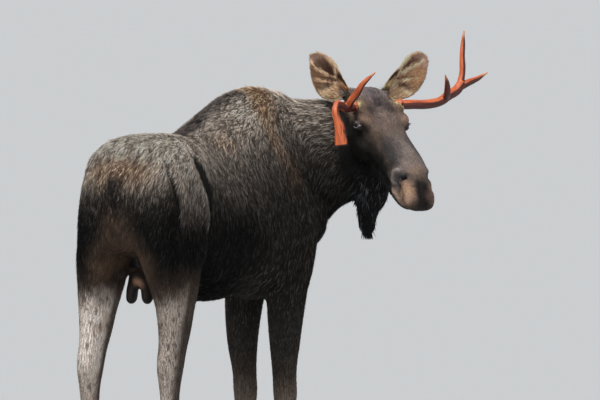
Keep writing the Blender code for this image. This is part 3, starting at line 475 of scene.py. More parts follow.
def ear_sheet(side, rows=14, across=9, inset=0.0):
    """The middle surface of one ear as (points, faces), a cupped leaf; inset pulls its rim in."""
    base, tip, opening = (np.array(p, float) for p in EARS[side])
    axis = tip - base
    length = np.linalg.norm(axis)
    axis = axis / length
    face = unit(opening - (opening @ axis) * axis)
    wide = np.cross(axis, face) * (1 if side == "left" else -1)      # towards the outer rim
    s = np.linspace(0, 1, rows)
    prof = np.array(EAR)
    fine = curve_through([(p[0], 0, 0, p[1], p[2]) for p in prof], 200)
    half = np.interp(s, fine[:, 0], fine[:, 3]) * (1.05 if side == "left" else 0.97) - inset
    cup = np.interp(s, fine[:, 0], fine[:, 4])
    half = np.maximum(half, 0.003)
    pts = []
    for i in range(rows):
        for t in np.linspace(-1, 1, across):
            skew = 0.20 * math.sin(math.pi * s[i])                   # the outer rim is the fuller one
            p = base + axis * (s[i] * (length - inset)) + wide * half[i] * (t + skew) + face * (cup[i] * (abs(t) ** 1.7 - 0.45))
            p = p + face * (-0.012 * s[i] ** 2)
            pts.append(p)
    f = []
    for i in range(rows - 1):
        for j in range(across - 1):
            a = i * across + j
            f.append((a, a + 1, a + across + 1, a + across))
    v = np.array(pts) @ HEAD[:3, :3].T + HEAD[:3, 3]
    return v, f


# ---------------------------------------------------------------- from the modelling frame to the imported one
_low, _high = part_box("eye_left")
SHIFT = np.array((_low + _high) / 2) - from_head(np.array(EYE_AT))
SHIFT[2] = 0.0


def srgb(r, g, b):
    """Scene-linear colour from 0 to 255 values."""
    c = np.array([r, g, b], float) / 255.0
    return np.where(c <= 0.04045, c / 12.92, ((c + 0.055) / 1.055) ** 2.4)


def noise(p, size, seed=0):
    """Smooth noise from -1 to 1 at points p, with features about size across."""
    q = np.asarray(p, float) / size + 31.7 * (seed + 1)
    i = np.floor(q).astype(np.int64)
    f = q - i
    f = f * f * (3 - 2 * f)
    out = np.zeros(len(q))
    for dx in (0, 1):
        for dy in (0, 1):
            for dz in (0, 1):
                h = (i[:, 0] + dx) * 374761393 + (i[:, 1] + dy) * 668265263 + (i[:, 2] + dz) * 1442695041 + seed * 97531
                h = h & 0xFFFFFFFF
                h = ((h ^ (h >> 13)) * 1274126177) & 0xFFFFFFFF
                h = h ^ (h >> 16)
                value = (h & 0xFFFF) / 32767.5 - 1.0
                w = (f[:, 0] if dx else 1 - f[:, 0]) * (f[:, 1] if dy else 1 - f[:, 1]) * (f[:, 2] if dz else 1 - f[:, 2])
                out += w * value
    return out


def near_line(p, line):
    """For each point: the vector from the nearest point of a polyline, how far along it that is from 0 to 1, and its direction."""
    line = np.asarray(line, float)
    seg = np.diff(line, axis=0)
    long = np.linalg.norm(seg, axis=1)
    start = np.concatenate([[0], np.cumsum(long)])
    best = np.full(len(p), np.inf)
    away = np.zeros((len(p), 3))
    along = np.zeros(len(p))
    way = np.zeros((len(p), 3))
    for a, s, l, t0 in zip(line[:-1], seg, long, start[:-1]):
        t = np.clip(((p - a) @ s) / (l * l), 0, 1)
        d = p - (a + t[:, None] * s)
        r = (d * d).sum(1)
        hit = r < best
        best[hit] = r[hit]
        away[hit] = d[hit]
        along[hit] = (t0 + t[hit] * l) / start[-1]
        way[hit] = s / l
    return away, along, way


def ridge(p, line, width, ends=0.0):
    """1 on a polyline, falling off like a bell over width; ends above 0 fades it out towards both ends."""
    d, t, _ = near_line(p, line)
    out = np.exp(-(d * d).sum(1) / width**2)
    if ends:
        out = out * smooth01(0, ends, t) * smooth01(0, ends, 1 - t)
    return out


def normals_of(mesh):
    n = np.zeros(len(mesh.vertices) * 3, np.float32)
    mesh.vertex_normals.foreach_get("vector", n)
    return n.reshape(-1, 3).astype(float)


def triangles_of(mesh):
    mesh.calc_loop_triangles()
    f = np.zeros(len(mesh.loop_triangles) * 3, np.int32)
    mesh.loop_triangles.foreach_get("vertices", f)
    return f.reshape(-1, 3)


def refine(mesh, chosen):
    """Cuts the faces between the chosen vertices in four."""
    bm = bmesh.new()
    bm.from_mesh(mesh)
    edges = [e for e in bm.edges if chosen[e.verts[0].index] and chosen[e.verts[1].index]]
    bmesh.ops.subdivide_edges(bm, edges=edges, cuts=1, use_grid_fill=True)
    bm.to_mesh(mesh)
    bm.free()
    mesh.update()


def colour_layer(mesh, name, rgb):
    layer = mesh.color_attributes.new(name=name, type="FLOAT_COLOR", domain="POINT")
    data = np.ones((len(rgb), 4), np.float32)
    data[:, :3] = np.clip(rgb, 0, 1)
    layer.data.foreach_set("color", data.ravel())


def value_layer(mesh, name, values):
    layer = mesh.attributes.new(name=name, type="FLOAT", domain="POINT")
    layer.data.foreach_set("value", np.asarray(values, np.float32))


def vector_layer(mesh, name, values):
    layer = mesh.attributes.new(name=name, type="FLOAT_VECTOR", domain="POINT")
    layer.data.foreach_set("vector", np.asarray(values, np.float32).ravel())


def placed(name, mesh, material, *nodes, slot=None, smooth=True):
    """An object of a mesh made in the modelling frame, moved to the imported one, riding on the body."""
    set_coords(mesh, coords(mesh) + SHIFT)
    mesh.name = name
    if smooth:
        mesh.shade_smooth()
    o = bpy.data.objects.new(name, mesh)
    bpy.context.scene.collection.objects.link(o)
    mesh.materials.clear()
    mesh.materials.append(material)
    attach(o, "root")
    if nodes:
        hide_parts(*nodes)
    return o


# ---------------------------------------------------------------- materials
class Tree:
    """A material's node tree, with short ways to add and link nodes."""

    def __init__(self, name):
        self.material = bpy.data.materials.new(name)
        self.material.use_nodes = True
        self.tree = self.material.node_tree
        self.shader = self.tree.nodes["Principled BSDF"]

    def node(self, kind, settings=None, **inputs):
        n = self.tree.nodes.new(kind)
        for key, value in (settings or {}).items():
            setattr(n, key, value)
        for key, value in inputs.items():
            sock = n.inputs[int(key[1:])] if key[0] == "i" and key[1:].isdigit() else n.inputs[key.replace("_", " ")]
            if isinstance(value, bpy.types.NodeSocket):
                self.tree.links.new(value, sock)
            else:
                sock.default_value = value
        return n

    def attribute(self, name):
        return self.node("ShaderNodeAttribute", {"attribute_name": name})

    def coords(self, stretch=(1, 1, 1), source=None):
        source = source or self.node("ShaderNodeTexCoord").outputs["Object"]
        return self.node("ShaderNodeMapping", None, Vector=source, Scale=stretch).outputs[0]

    def noise(self, at, scale, detail=3.0, rough=0.55, distortion=0.0):
        return self.node("ShaderNodeTexNoise", None, Vector=at, Scale=scale, Detail=detail, Roughness=rough, Distortion=distortion).outputs["Fac"]

    def ramp(self, fac, stops):
        n = self.node("ShaderNodeValToRGB", None, Fac=fac)
        while len(n.color_ramp.elements) < len(stops):
            n.color_ramp.elements.new(0.5)
        for e, (at, c) in zip(n.color_ramp.elements, stops):
            e.position = at
            e.color = (c, c, c, 1) if isinstance(c, (int, float)) else tuple(c) + (1,)
        return n.outputs["Color"]

    def spread(self, value, low, high, to_low, to_high):
        return self.node("ShaderNodeMapRange", None, Value=value, From_Min=low, From_Max=high, To_Min=to_low, To_Max=to_high).outputs[0]

    def math(self, what, a, b=0.0):
        return self.node("ShaderNodeMath", {"operation": what}, i0=a, i1=b).outputs[0]

    def mix(self, fac, a, b, how="MIX"):
        n = self.tree.nodes.new("ShaderNodeMix")
        n.data_type = "RGBA"
        n.blend_type = how
        for sock, value in ((n.inputs[0], fac), (n.inputs[6], a), (n.inputs[7], b)):
            if isinstance(value, bpy.types.NodeSocket):
                self.tree.links.new(value, sock)
            else:
                sock.default_value = value if isinstance(value, (int, float)) else tuple(value) + (1,)
        return n.outputs[2]

    def finish(self, colour, rough, height=None, strength=0.3, distance=0.002, **constants):
        """Links the shader; colour and rough are sockets, the rest are plain numbers."""
        s = self.shader.inputs
        self.tree.links.new(colour, s["Base Color"])
        if isinstance(rough, bpy.types.NodeSocket):
            self.tree.links.new(rough, s["Roughness"])
        else:
            s["Roughness"].default_value = rough
        if height is not None:
            b = self.node("ShaderNodeBump", None, Strength=strength, Distance=distance, Height=height)
            self.tree.links.new(b.outputs[0], s["Normal"])
        for key, value in constants.items():
            s[key.replace("_", " ")].default_value = value
        return self.material


def coat_material(name, tint=1.0):
    """Hair: the tuft's own colour, streaked along it, with a soft sheen."""
    t = Tree(name)
    at = t.coords()
    hue = t.attribute("coat").outputs["Color"]
    fine = t.noise(at, 420.0, 2.0)
    broad = t.noise(at, 14.0, 3.0)
    shade = t.math("MULTIPLY", t.spread(fine, 0.25, 0.75, 0.80, 1.20), t.spread(broad, 0.3, 0.7, 0.93 * tint, 1.07 * tint))
    colour = t.mix(1.0, hue, t.node("ShaderNodeCombineColor", None, Red=shade, Green=shade, Blue=shade).outputs[0], "MULTIPLY")
    rough = t.spread(fine, 0.2, 0.8, 0.50, 0.68)
    return t.finish(colour, rough, fine, 0.25, 0.0006, Specular_IOR_Level=0.10, Sheen_Weight=0.02, Sheen_Roughness=0.5)


def skin_material():
    """Skin under the coat: the same markings, with short hair drawn in bump along the lie of the coat."""
    t = Tree("moose_skin")
    hue = t.attribute("coat").outputs["Color"]
    bare = t.attribute("bare").outputs["Fac"]
    flow = t.attribute("flow").outputs["Vector"]
    at = t.coords()
    strands = t.noise(flow, 1.0, 4.0, 0.6)
    pores = t.node("ShaderNodeTexVoronoi", None, Vector=at, Scale=650.0).outputs["Distance"]
    shade = t.spread(strands, 0.25, 0.75, 0.62, 1.30)
    hair = t.mix(1.0, hue, t.node("ShaderNodeCombineColor", None, Red=shade, Green=shade, Blue=shade).outputs[0], "MULTIPLY")
    mottled = t.spread(t.noise(at, 70.0, 4.0), 0.3, 0.7, 0.80, 1.20)
    skin = t.mix(1.0, hue, t.node("ShaderNodeCombineColor", None, Red=mottled, Green=mottled, Blue=mottled).outputs[0], "MULTIPLY")
    colour = t.mix(bare, hair, skin)
    rough = t.spread(bare, 0.0, 1.0, 0.62, 0.42)
    height = t.mix(bare, strands, pores)
    return t.finish(colour, rough, height, 0.55, 0.0016, Specular_IOR_Level=0.18)


def antler_material():
    """Bare antler just out of velvet: orange-red, with painted shade on its undersides and on the sides turned from the
    light, darker in the grooves, and pale at the tips.
    """
    t = Tree("moose_antler")
    at = t.coords()
    stain = t.attribute("stain").outputs["Fac"]
    tip = t.attribute("tip").outputs["Fac"]
    groove = t.attribute("groove").outputs["Vector"]
    lines = t.noise(groove, 1.0, 4.0, 0.6, 0.4)
    blotch = t.noise(at, 28.0, 4.0, 0.6)
    base = t.ramp(lines, [(0.28, tuple(srgb(116, 44, 24))), (0.50, tuple(srgb(186, 88, 46))), (0.80, tuple(srgb(216, 128, 78)))])
    dark = t.ramp(lines, [(0.30, tuple(srgb(40, 17, 15))), (0.70, tuple(srgb(104, 44, 34)))])
    pale = t.ramp(blotch, [(0.3, tuple(srgb(196, 128, 84))), (0.7, tuple(srgb(224, 172, 126)))])
    # painted shade: the dark colour is mixed in on the undersides and the sides turned from the light, and in the
    # grooves
    much = t.spread(t.math("ADD", stain, t.math("MULTIPLY", t.math("SUBTRACT", blotch, 0.5), 1.1)), 0.35, 0.75, 0.0, 1.0)
    colour = t.mix(much, base, dark)
    colour = t.mix(t.spread(t.math("ADD", tip, t.math("MULTIPLY", t.math("SUBTRACT", blotch, 0.5), 0.6)), 0.55, 1.05, 0.0, 0.85), colour, pale)
    rough = t.spread(lines, 0.2, 0.8, 0.36, 0.58)
    return t.finish(colour, rough, lines, 0.5, 0.0016, Specular_IOR_Level=0.45)


def horn_material():
    """Hoof horn: near black, ringed by growth, scuffed pale towards the sole."""
    t = Tree("moose_hoof")
    at = t.coords()
    rings = t.node("ShaderNodeTexWave", {"bands_direction": "Z"}, Vector=at, Scale=42.0, Distortion=2.2, Detail=2.0).outputs["Fac"]
    streak = t.noise(t.coords((60, 60, 9)), 3.0, 3.0)
    base = t.ramp(streak, [(0.3, tuple(srgb(34, 29, 27))), (0.75, tuple(srgb(74, 63, 56)))])
    worn = t.spread(t.node("ShaderNodeSeparateXYZ", None, Vector=at).outputs["Z"], 0.0, 0.03, 0.55, 0.0)
    colour = t.mix(worn, base, t.ramp(streak, [(0.3, tuple(srgb(84, 72, 62))), (0.7, tuple(srgb(120, 106, 92)))]))
    rough = t.spread(streak, 0.2, 0.8, 0.34, 0.55)
    return t.finish(colour, rough, t.math("ADD", rings, t.math("MULTIPLY", streak, 0.8)), 0.4, 0.0012, Specular_IOR_Level=0.5)


def eye_material():
    """A dark wet eye: brown iris, a pupil that lies level, dark edge."""
    t = Tree("moose_eye")
    # local axes of the eyeball: z out, x along the slit; the radius is 1
    at = t.attribute("eye").outputs["Vector"]
    parts = t.node("ShaderNodeSeparateXYZ", None, Vector=at)
    x, y = parts.outputs["X"], parts.outputs["Y"]
    far = t.math("SQRT", t.math("ADD", t.math("POWER", t.math("ABSOLUTE", x), 2.0), t.math("POWER", t.math("ABSOLUTE", y), 2.0)))
    turn = t.math("ARCTAN2", y, x)
    spokes = t.noise(t.node("ShaderNodeCombineXYZ", None, X=t.math("MULTIPLY", turn, 5.0), Y=t.math("MULTIPLY", far, 2.5), Z=0.0).outputs[0], 3.0, 3.0)
    iris = t.ramp(spokes, [(0.3, tuple(srgb(18, 11, 8))), (0.7, tuple(srgb(46, 29, 20)))])
    edge = t.spread(far, 0.52, 0.66, 0.0, 1.0)
    colour = t.mix(edge, iris, tuple(srgb(13, 10, 9)))
    slot = t.math("ADD", t.math("POWER", t.math("DIVIDE", t.math("ABSOLUTE", x), 0.34), 2.0), t.math("POWER", t.math("DIVIDE", t.math("ABSOLUTE", y), 0.17), 2.0))
    colour = t.mix(t.spread(slot, 0.8, 1.1, 1.0, 0.0), colour, (0.002, 0.002, 0.003))
    white = t.spread(far, 0.80, 0.93, 0.0, 1.0)
    colour = t.mix(white, colour, t.ramp(t.noise(at, 9.0, 4.0), [(0.3, tuple(srgb(70, 50, 42))), (0.7, tuple(srgb(120, 100, 88)))]))
    rough = t.spread(t.noise(at, 6.0), 0.2, 0.8, 0.03, 0.07)
    return t.finish(colour, rough, None, Specular_IOR_Level=0.6, Coat_Weight=1.0, Coat_Roughness=0.02)


# ---------------------------------------------------------------- folds of the hide, and features of the face
# folds on the right side, mirrored to the left where the pose lets them be: points down the line of each
FLANK_FOLD = [(-0.405, 0.130, 1.606), (-0.440, 0.160, 1.590), (-0.453, 0.196, 1.552), (-0.441, 0.221, 1.497), (-0.412, 0.232, 1.442),
              (-0.376, 0.236, 1.382), (-0.350, 0.235, 1.322), (-0.334, 0.232, 1.280), (-0.326, 0.226, 1.220)]
RUMP_FOLD = [(-0.575, 0.150, 1.560), (-0.589, 0.171, 1.530), (-0.594, 0.196, 1.476), (-0.583, 0.212, 1.421), (-0.571, 0.219, 1.374),
             (-0.562, 0.222, 1.310)]
NECK_FOLD = [(0.385, -0.195, 1.560), (0.430, -0.200, 1.510), (0.500, -0.202, 1.455), (0.580, -0.206, 1.405), (0.660, -0.216, 1.350), (0.700, -0.226, 1.310)]
SIDE = np.array([1.0, -1.0, 1.0])
# in the head's frame, |left| in place of left
NOSTRIL = [(0.534, 0.048, 0.024), (0.530, 0.056, 0.014), (0.524, 0.063, 0.004), (0.516, 0.068, -0.006)]
HOLLOW = [(0.514, 0.066, 0.002), (0.508, 0.071, -0.010), (0.512, 0.071, -0.024), (0.520, 0.070, -0.034)]
NOSTRIL_TAIL = [(0.532, 0.066, -0.012), (0.546, 0.066, -0.023), (0.561, 0.066, -0.034), (0.576, 0.065, -0.046), (0.588, 0.062, -0.058),
                (0.598, 0.058, -0.070), (0.604, 0.050, -0.080)]
NOSTRIL_WING = [(0.510, 0.070, -0.052), (0.492, 0.071, -0.042), (0.476, 0.075, -0.024), (0.472, 0.074, 0.000), (0.484, 0.068, 0.020),
                (0.500, 0.052, 0.036)]
MOUTH = [(0.392, 0.045, -0.104), (0.430, 0.046, -0.104), (0.470, 0.054, -0.096), (0.505, 0.062, -0.088), (0.540, 0.062, -0.084),
         (0.568, 0.054, -0.091), (0.588, 0.034, -0.097), (0.596, 0.000, -0.100)]
CREST = [(0.150, 0.104, -0.058), (0.230, 0.088, -0.058), (0.330, 0.066, -0.060)]
EYE_OUT = unit(np.array((0.28, 0.93, 0.16)))
EYE_LONG = np.array((1.0, 0.0, 0.50))
EYE_AHEAD = unit(EYE_LONG - (EYE_LONG @ EYE_OUT) * EYE_OUT)
EYE_UP = np.cross(EYE_OUT, EYE_AHEAD) * -1.0
if EYE_UP[2] < 0:
    EYE_UP = -EYE_UP
SLIT = (0.0150, 0.0096)           # half length and half height of the opening between the lids
LID_R = EYE_R + 0.0030


def folded(h):
    """Points of the head's frame with left turned to |left|."""
    return h * np.array([1, 0, 1]) + np.abs(h[:, 1:2]) * np.array([0, 1, 0])


def eye_place(h):
    """(ahead, up, out) of points from the nearer eyeball's centre."""
    q = folded(h) - np.array(EYE_AT)
    return np.stack([q @ EYE_AHEAD, q @ EYE_UP, q @ EYE_OUT], 1)


def eye_opening(e):
    """Below 1 inside the almond between the lids."""
    u, v = e[:, 0] / SLIT[0], e[:, 1] / SLIT[1]
    pinch = np.clip(1 - 0.55 * u * u, 0.35, 1)
    return np.sqrt(u * u + (v / pinch) ** 2)


def beside(q, line):
    """For points mirrored to the left: how far ahead of a fold's line they are, how far off it otherwise, and how far down it."""
    d, t, way = near_line(q, line)
    ahead = unit(np.array([1.0, 0, 0]) - way[:, :1] * way)
    s = (d * ahead).sum(1)
    return s, np.sqrt(np.maximum((d * d).sum(1) - s * s, 0)), t


def zones(p):
    """Shares from 0 to 1 of the named parts at points of the modelling frame."""
    h = to_head(p)
    hx, hy, hz = h[:, 0], np.abs(h[:, 1]), h[:, 2]
    low = np.interp(hx, [-0.10, 0.00, 0.16, 0.29, 0.40, 0.54, 0.65], [-0.120, -0.160, -0.186, -0.165, -0.142, -0.132, -0.120])
    wide = np.interp(hx, [-0.10, -0.02, 0.06, 0.13, 0.19, 0.27, 0.35, 0.65], [0.110, 0.112, 0.122, 0.136, 0.120, 0.105, 0.095, 0.105])
    head = smooth01(-0.080, 0.015, hx) * (1 - smooth01(wide, wide + 0.035, hy)) * smooth01(low - 0.040, low, hz) * (hx < 0.75)
    bell = np.exp(-((near_line(p, [r[:3] for r in BELL])[0]) ** 2).sum(1) / 0.075**2) * (1 - head) * (1 - smooth01(1.42, 1.50, p[:, 2])) * (p[:, 0] > 0.74)
    tail = np.exp(-((near_line(p, [r[:3] for r in TAIL])[0]) ** 2).sum(1) / 0.040**2) * (p[:, 0] < -0.66)
    sack = (np.abs(p[:, 1]) < 0.080) * (p[:, 2] < 1.085) * (p[:, 2] > 0.90) * (p[:, 0] < -0.44) * (p[:, 0] > -0.575)
    sack = sack * (np.hypot((p[:, 0] + 0.507), np.abs(p[:, 1]) * 0.9) < 0.075)
    fore = smooth01(1.04, 0.90, p[:, 2]) * (p[:, 0] > 0.25)
    hind = smooth01(1.16, 1.00, p[:, 2]) * (p[:, 0] < -0.30) * (1 - sack)
    neck = smooth01(-0.06, 0.20, (p - np.array([0.62, -0.02, 1.45])) @ unit(np.array([0.85, -0.38, 0.36]))) * (1 - head) * (1 - bell) * (p[:, 2] > 1.0)
    q = p * np.array([1, 0, 1]) + np.abs(p[:, 1:2]) * np.array([0, 1, 0])
    s, off, t = beside(q, FLANK_FOLD)
    broad = 0.006 + 0.054 * smooth01(0.14, 0.42, t) * smooth01(0.97, 0.52, t)
    # painted shade: the strips just ahead of the flank fold and the rump fold are where the folds' shadow is painted
    # dark
    gap = smooth01(-0.005, 0.003, s) * smooth01(broad + 0.010, broad - 0.002, s) * smooth01(0.0, 0.05, t) * smooth01(1.0, 0.90, t) * np.exp(-((off / 0.05) ** 2))
    brim = smooth01(0.0, 0.10, t) * smooth01(1.0, 0.86, t) * np.exp(-((off / 0.05) ** 2)) * smooth01(0.004, -0.004, s) * smooth01(-0.085, -0.030, s)
    s2, off2, t2 = beside(q, RUMP_FOLD)
    rump_fold_shade = smooth01(0.15, 0.45, t2) * smooth01(1.0, 0.8, t2) * np.exp(-((off2 / 0.05) ** 2)) * np.exp(-(((s2 + 0.006) / (0.007 + 0.010 * smooth01(0.3, 0.8, t2))) ** 2))
    band = smooth01(1.0, 0.90, t) * smooth01(0.0, 0.10, t) * smooth01(0.004, -0.004, s) * smooth01(-0.002, 0.004, s2) * np.exp(-((off2 / 0.12) ** 2)) * (q[:, 0] < -0.25)
    return {"band": band, "brim_line": smooth01(0.0, 0.14, t) * smooth01(1.0, 0.8, t) * np.exp(-((off / 0.05) ** 2)), "gap": gap, "brim": brim, "rump_fold_shade": rump_fold_shade, "s": s, "s2": s2, "head": head, "bell": bell, "tail": tail, "sack": sack.astype(float), "fore": fore, "hind": hind, "neck": neck, "h": h}


def coat_depth(p, z):
    """How far the tips of the hair stand above the skin."""
    d = np.full(len(p), 0.0085)
    crest = smooth01(1.55, 1.72, p[:, 2]) * smooth01(0.02, 0.30, p[:, 0])
    d = d + 0.006 * crest
    d = d + (0.0130 - d) * z["neck"]
    under = smooth01(1.08, 0.99, p[:, 2]) * (p[:, 0] > -0.30) * (p[:, 0] < 0.40)
    d = d + 0.007 * under
    legs = np.maximum(smooth01(1.02, 0.80, p[:, 2]) * (z["fore"] > 0), smooth01(1.20, 0.90, p[:, 2]) * (z["hind"] > 0))
    d = d + (0.0036 - d) * legs
    face = 0.0024 + 0.0034 * smooth01(0.12, 0.02, z["h"][:, 0]) + 0.0024 * smooth01(-0.06, -0.14, z["h"][:, 2])
    face = face + 0.022 * bump_at(folded(z["h"]), (-0.010, 0.112, 0.026), (0.060, 0.050, 0.050))
    d = d + (face - d) * z["head"]
    d = d + (0.0120 - d) * z["bell"]
    d = d + (0.0055 - d) * z["tail"]
    d = d + (0.0026 - d) * z["sack"]
    return d


def face_push(h):
    """How far the skin of the head moves out along its normal, in head units, and how bare it is."""
    q = folded(h)
    out = np.zeros(len(q))
    out += 0.0050 * ridge(q, CREST, 0.020, 0.25)
    out -= 0.0080 * ridge(q, [(0.215, 0.090, -0.002), (0.290, 0.070, -0.012), (0.390, 0.064, -0.020)], 0.030, 0.2)
    out -= 0.0050 * ridge(q, [(0.186, 0.104, 0.008), (0.205, 0.094, 0.004), (0.226, 0.086, 0.000)], 0.0085, 0.3)
    out -= 0.0090 * ridge(q, [(0.100, 0.108, 0.006), (0.118, 0.110, -0.014)], 0.026)
    out += 0.0040 * ridge(q, [(0.120, 0.104, 0.050), (0.155, 0.104, 0.050), (0.190, 0.092, 0.040)], 0.015, 0.3)
    out -= 0.0040 * ridge(q, [(0.100, 0.030, 0.080), (0.200, 0.030, 0.065)], 0.030, 0.4)
    # nostril, its wing and the crease that runs from it to the lip
    hole = ridge(q, NOSTRIL, 0.0080, 0.10)
    out -= 0.0150 * hole + 0.0105 * ridge(q, HOLLOW, 0.0130)
    out += 0.0065 * ridge(q, NOSTRIL_WING, 0.0100, 0.25)
    out += 0.0030 * ridge(q, [(0.520, 0.070, -0.012), (0.536, 0.072, -0.022)], 0.0090)
    out -= 0.0060 * ridge(q, NOSTRIL_TAIL, 0.0055, 0.10)
    out += 0.0040 * ridge(q, [(0.578, 0.060, -0.010), (0.600, 0.052, -0.034), (0.604, 0.046, -0.056)], 0.016, 0.3)
    out -= 0.0035 * ridge(q, [(0.560, 0.040, 0.030), (0.590, 0.044, 0.004)], 0.014, 0.3)
    # mouth and lips
    line = ridge(q, MOUTH, 0.0052)
    out -= 0.0120 * line
    out += 0.0060 * ridge(q, [(a, b + 0.006, c + 0.018) for a, b, c in MOUTH], 0.0110, 0.12)
    out += 0.0030 * ridge(q, [(a, b - 0.006, c - 0.014) for a, b, c in MOUTH[:-2]], 0.0090, 0.2)
    # fine wrinkles over the muzzle's side
    for k in range(4):
        out -= 0.0014 * ridge(q, [(0.440 + 0.014 * k, 0.060, 0.034 - 0.006 * k), (0.446 + 0.012 * k, 0.070, 0.006 - 0.008 * k), (0.462 + 0.010 * k, 0.070, -0.020 - 0.006 * k)], 0.0042, 0.3)
    bare = np.maximum(0.90 * hole, 0.9 * line)
    return out, bare


def body_push(p, n, z):
    """Folds and muscles of the body: how far the skin moves out along its normal."""
    out = np.zeros(len(p))
    q = p * np.array([1, 0, 1]) + np.abs(p[:, 1:2]) * np.array([0, 1, 0])
    nn = n * np.stack([np.ones(len(p)), np.where(p[:, 1] < 0, -1.0, 1.0), np.ones(len(p))], 1)
    for line, deep, high, wide, way in ((FLANK_FOLD, 0.026, 0.013, 0.013, -1.0), (RUMP_FOLD, 0.013, 0.008, 0.008, 1.0)):
        s, off, t = beside(q, line)
        fade = smooth01(0.0, 0.16, t) * smooth01(0.0, 0.20, 1 - t) * np.exp(-((off / 0.05) ** 2))
        broad = wide * (0.6 + 0.5 * smooth01(0.15, 0.5, t))
        out -= deep * fade * np.exp(-(((s + way * 0.009) / broad) ** 2))
        out += high * fade * np.exp(-(((s - way * (broad + 0.016)) / 0.018) ** 2))
    out -= 0.012 * ridge(p, NECK_FOLD, 0.020, 0.25)
    out += 0.007 * ridge(p, [(0.318, -0.159, 1.637), (0.345, -0.185, 1.560), (0.400, -0.200, 1.480), (0.468, -0.209, 1.430), (0.500, -0.224, 1.370)], 0.026, 0.25)
    out += 0.005 * ridge(p, [(0.539, -0.200, 1.480), (0.652, -0.215, 1.415), (0.719, -0.226, 1.350)], 0.018, 0.25)
    # point of the hip, shoulder blade's ridge, a hint of ribs, and the groove of the thigh
    out += 0.006 * bump_at(q, (-0.235, 0.195, 1.520), (0.070, 0.10, 0.060))
    out += 0.005 * ridge(q, [(0.430, 0.150, 1.640), (0.500, 0.200, 1.420), (0.540, 0.210, 1.290)], 0.030, 0.3)
    out -= 0.005 * ridge(q, [(0.330, 0.200, 1.520), (0.340, 0.235, 1.300), (0.350, 0.225, 1.120)], 0.035, 0.3)
    out -= 0.004 * ridge(q, [(-0.600, 0.190, 1.300), (-0.590, 0.200, 1.150), (-0.585, 0.200, 1.000)], 0.022, 0.3)
    ribs = np.sin((p[:, 0] + 0.30 * (p[:, 2] - 1.2)) * 2 * math.pi / 0.072) * smooth01(-0.20, -0.05, p[:, 0]) * smooth01(0.34, 0.22, p[:, 0])
    out += 0.0012 * ribs * smooth01(1.02, 1.15, p[:, 2]) * smooth01(1.60, 1.48, p[:, 2])
    # tendons and joints of the legs
    low = smooth01(0.62, 0.52, p[:, 2])
    for foot in STEP:
        c = np.array([leg_centre(foot, zz) for zz in (0.20, 0.35, 0.50, 0.62)])
        near = (np.hypot(p[:, 0] - np.interp(p[:, 2], [0.20, 0.35, 0.50, 0.62], c[:, 0]), p[:, 1] - np.interp(p[:, 2], [0.20, 0.35, 0.50, 0.62], c[:, 1])) < 0.09)
        for sign in (1, -1):
            line = [(c[k, 0] - 0.020, c[k, 1] + sign * 0.034, zz) for k, zz in enumerate((0.20, 0.35, 0.50, 0.62))]
            out -= 0.0030 * ridge(p, line, 0.009, 0.2) * low * near
    out += 0.0025 * noise(p, 0.085, 3) * (1 - z["head"]) * smooth01(0.9, 1.2, p[:, 2])
    return out


def eyelids(h):
    """Moves points of the head's frame near the eyes onto the lids, and gives how much each is lid."""
    e = eye_place(h)
    q = folded(h)
    rho = np.hypot(e[:, 0], e[:, 1])
    near = (rho < 0.045) & (e[:, 2] > -0.012) & (h[:, 0] > 0.08) & (h[:, 0] < 0.24) & (q[:, 1] > 0.055)
    k = 0.0045
    dome = np.sqrt(np.maximum(LID_R**2 - rho**2, 0)) - 0.020 * smooth01(LID_R * 0.80, LID_R * 1.35, rho)
    w = e[:, 2]
    m = np.maximum(w, dome)
    blend = m + k * np.exp(-np.abs(w - dome) / k) * 0.6
    s = eye_opening(e)
    # the upper lid hangs a little over the eye, with a fold above it
    fold = np.exp(-(((s - 2.05) / 0.18) ** 2)) * smooth01(0.0, 0.006, e[:, 1])
    under = np.exp(-(((s - 2.00) / 0.22) ** 2)) * smooth01(0.0, -0.006, e[:, 1])
    rim = np.exp(-(((s - 1.08) / 0.10) ** 2))
    blend = blend - 0.0026 * fold - 0.0014 * under + 0.0008 * rim
    pit = np.sqrt(np.maximum(EYE_R**2 - rho**2, 0)) - 0.0045
    inside = 1 - smooth01(0.94, 1.04, s)
    target = blend * (1 - inside) + np.minimum(pit, blend) * inside
    reach = 1 - smooth01(0.030, 0.044, rho)
    new = w + (target - w) * reach
    step = np.where(near, new - w, 0.0)
    moved = q + step[:, None] * EYE_OUT
    moved[:, 1] *= np.where(h[:, 1] < 0, -1.0, 1.0)
    out = np.where(near[:, None], moved, h)
    lid = np.where(near, (1 - smooth01(1.50, 1.80, s)), 0.0)
    return out, lid


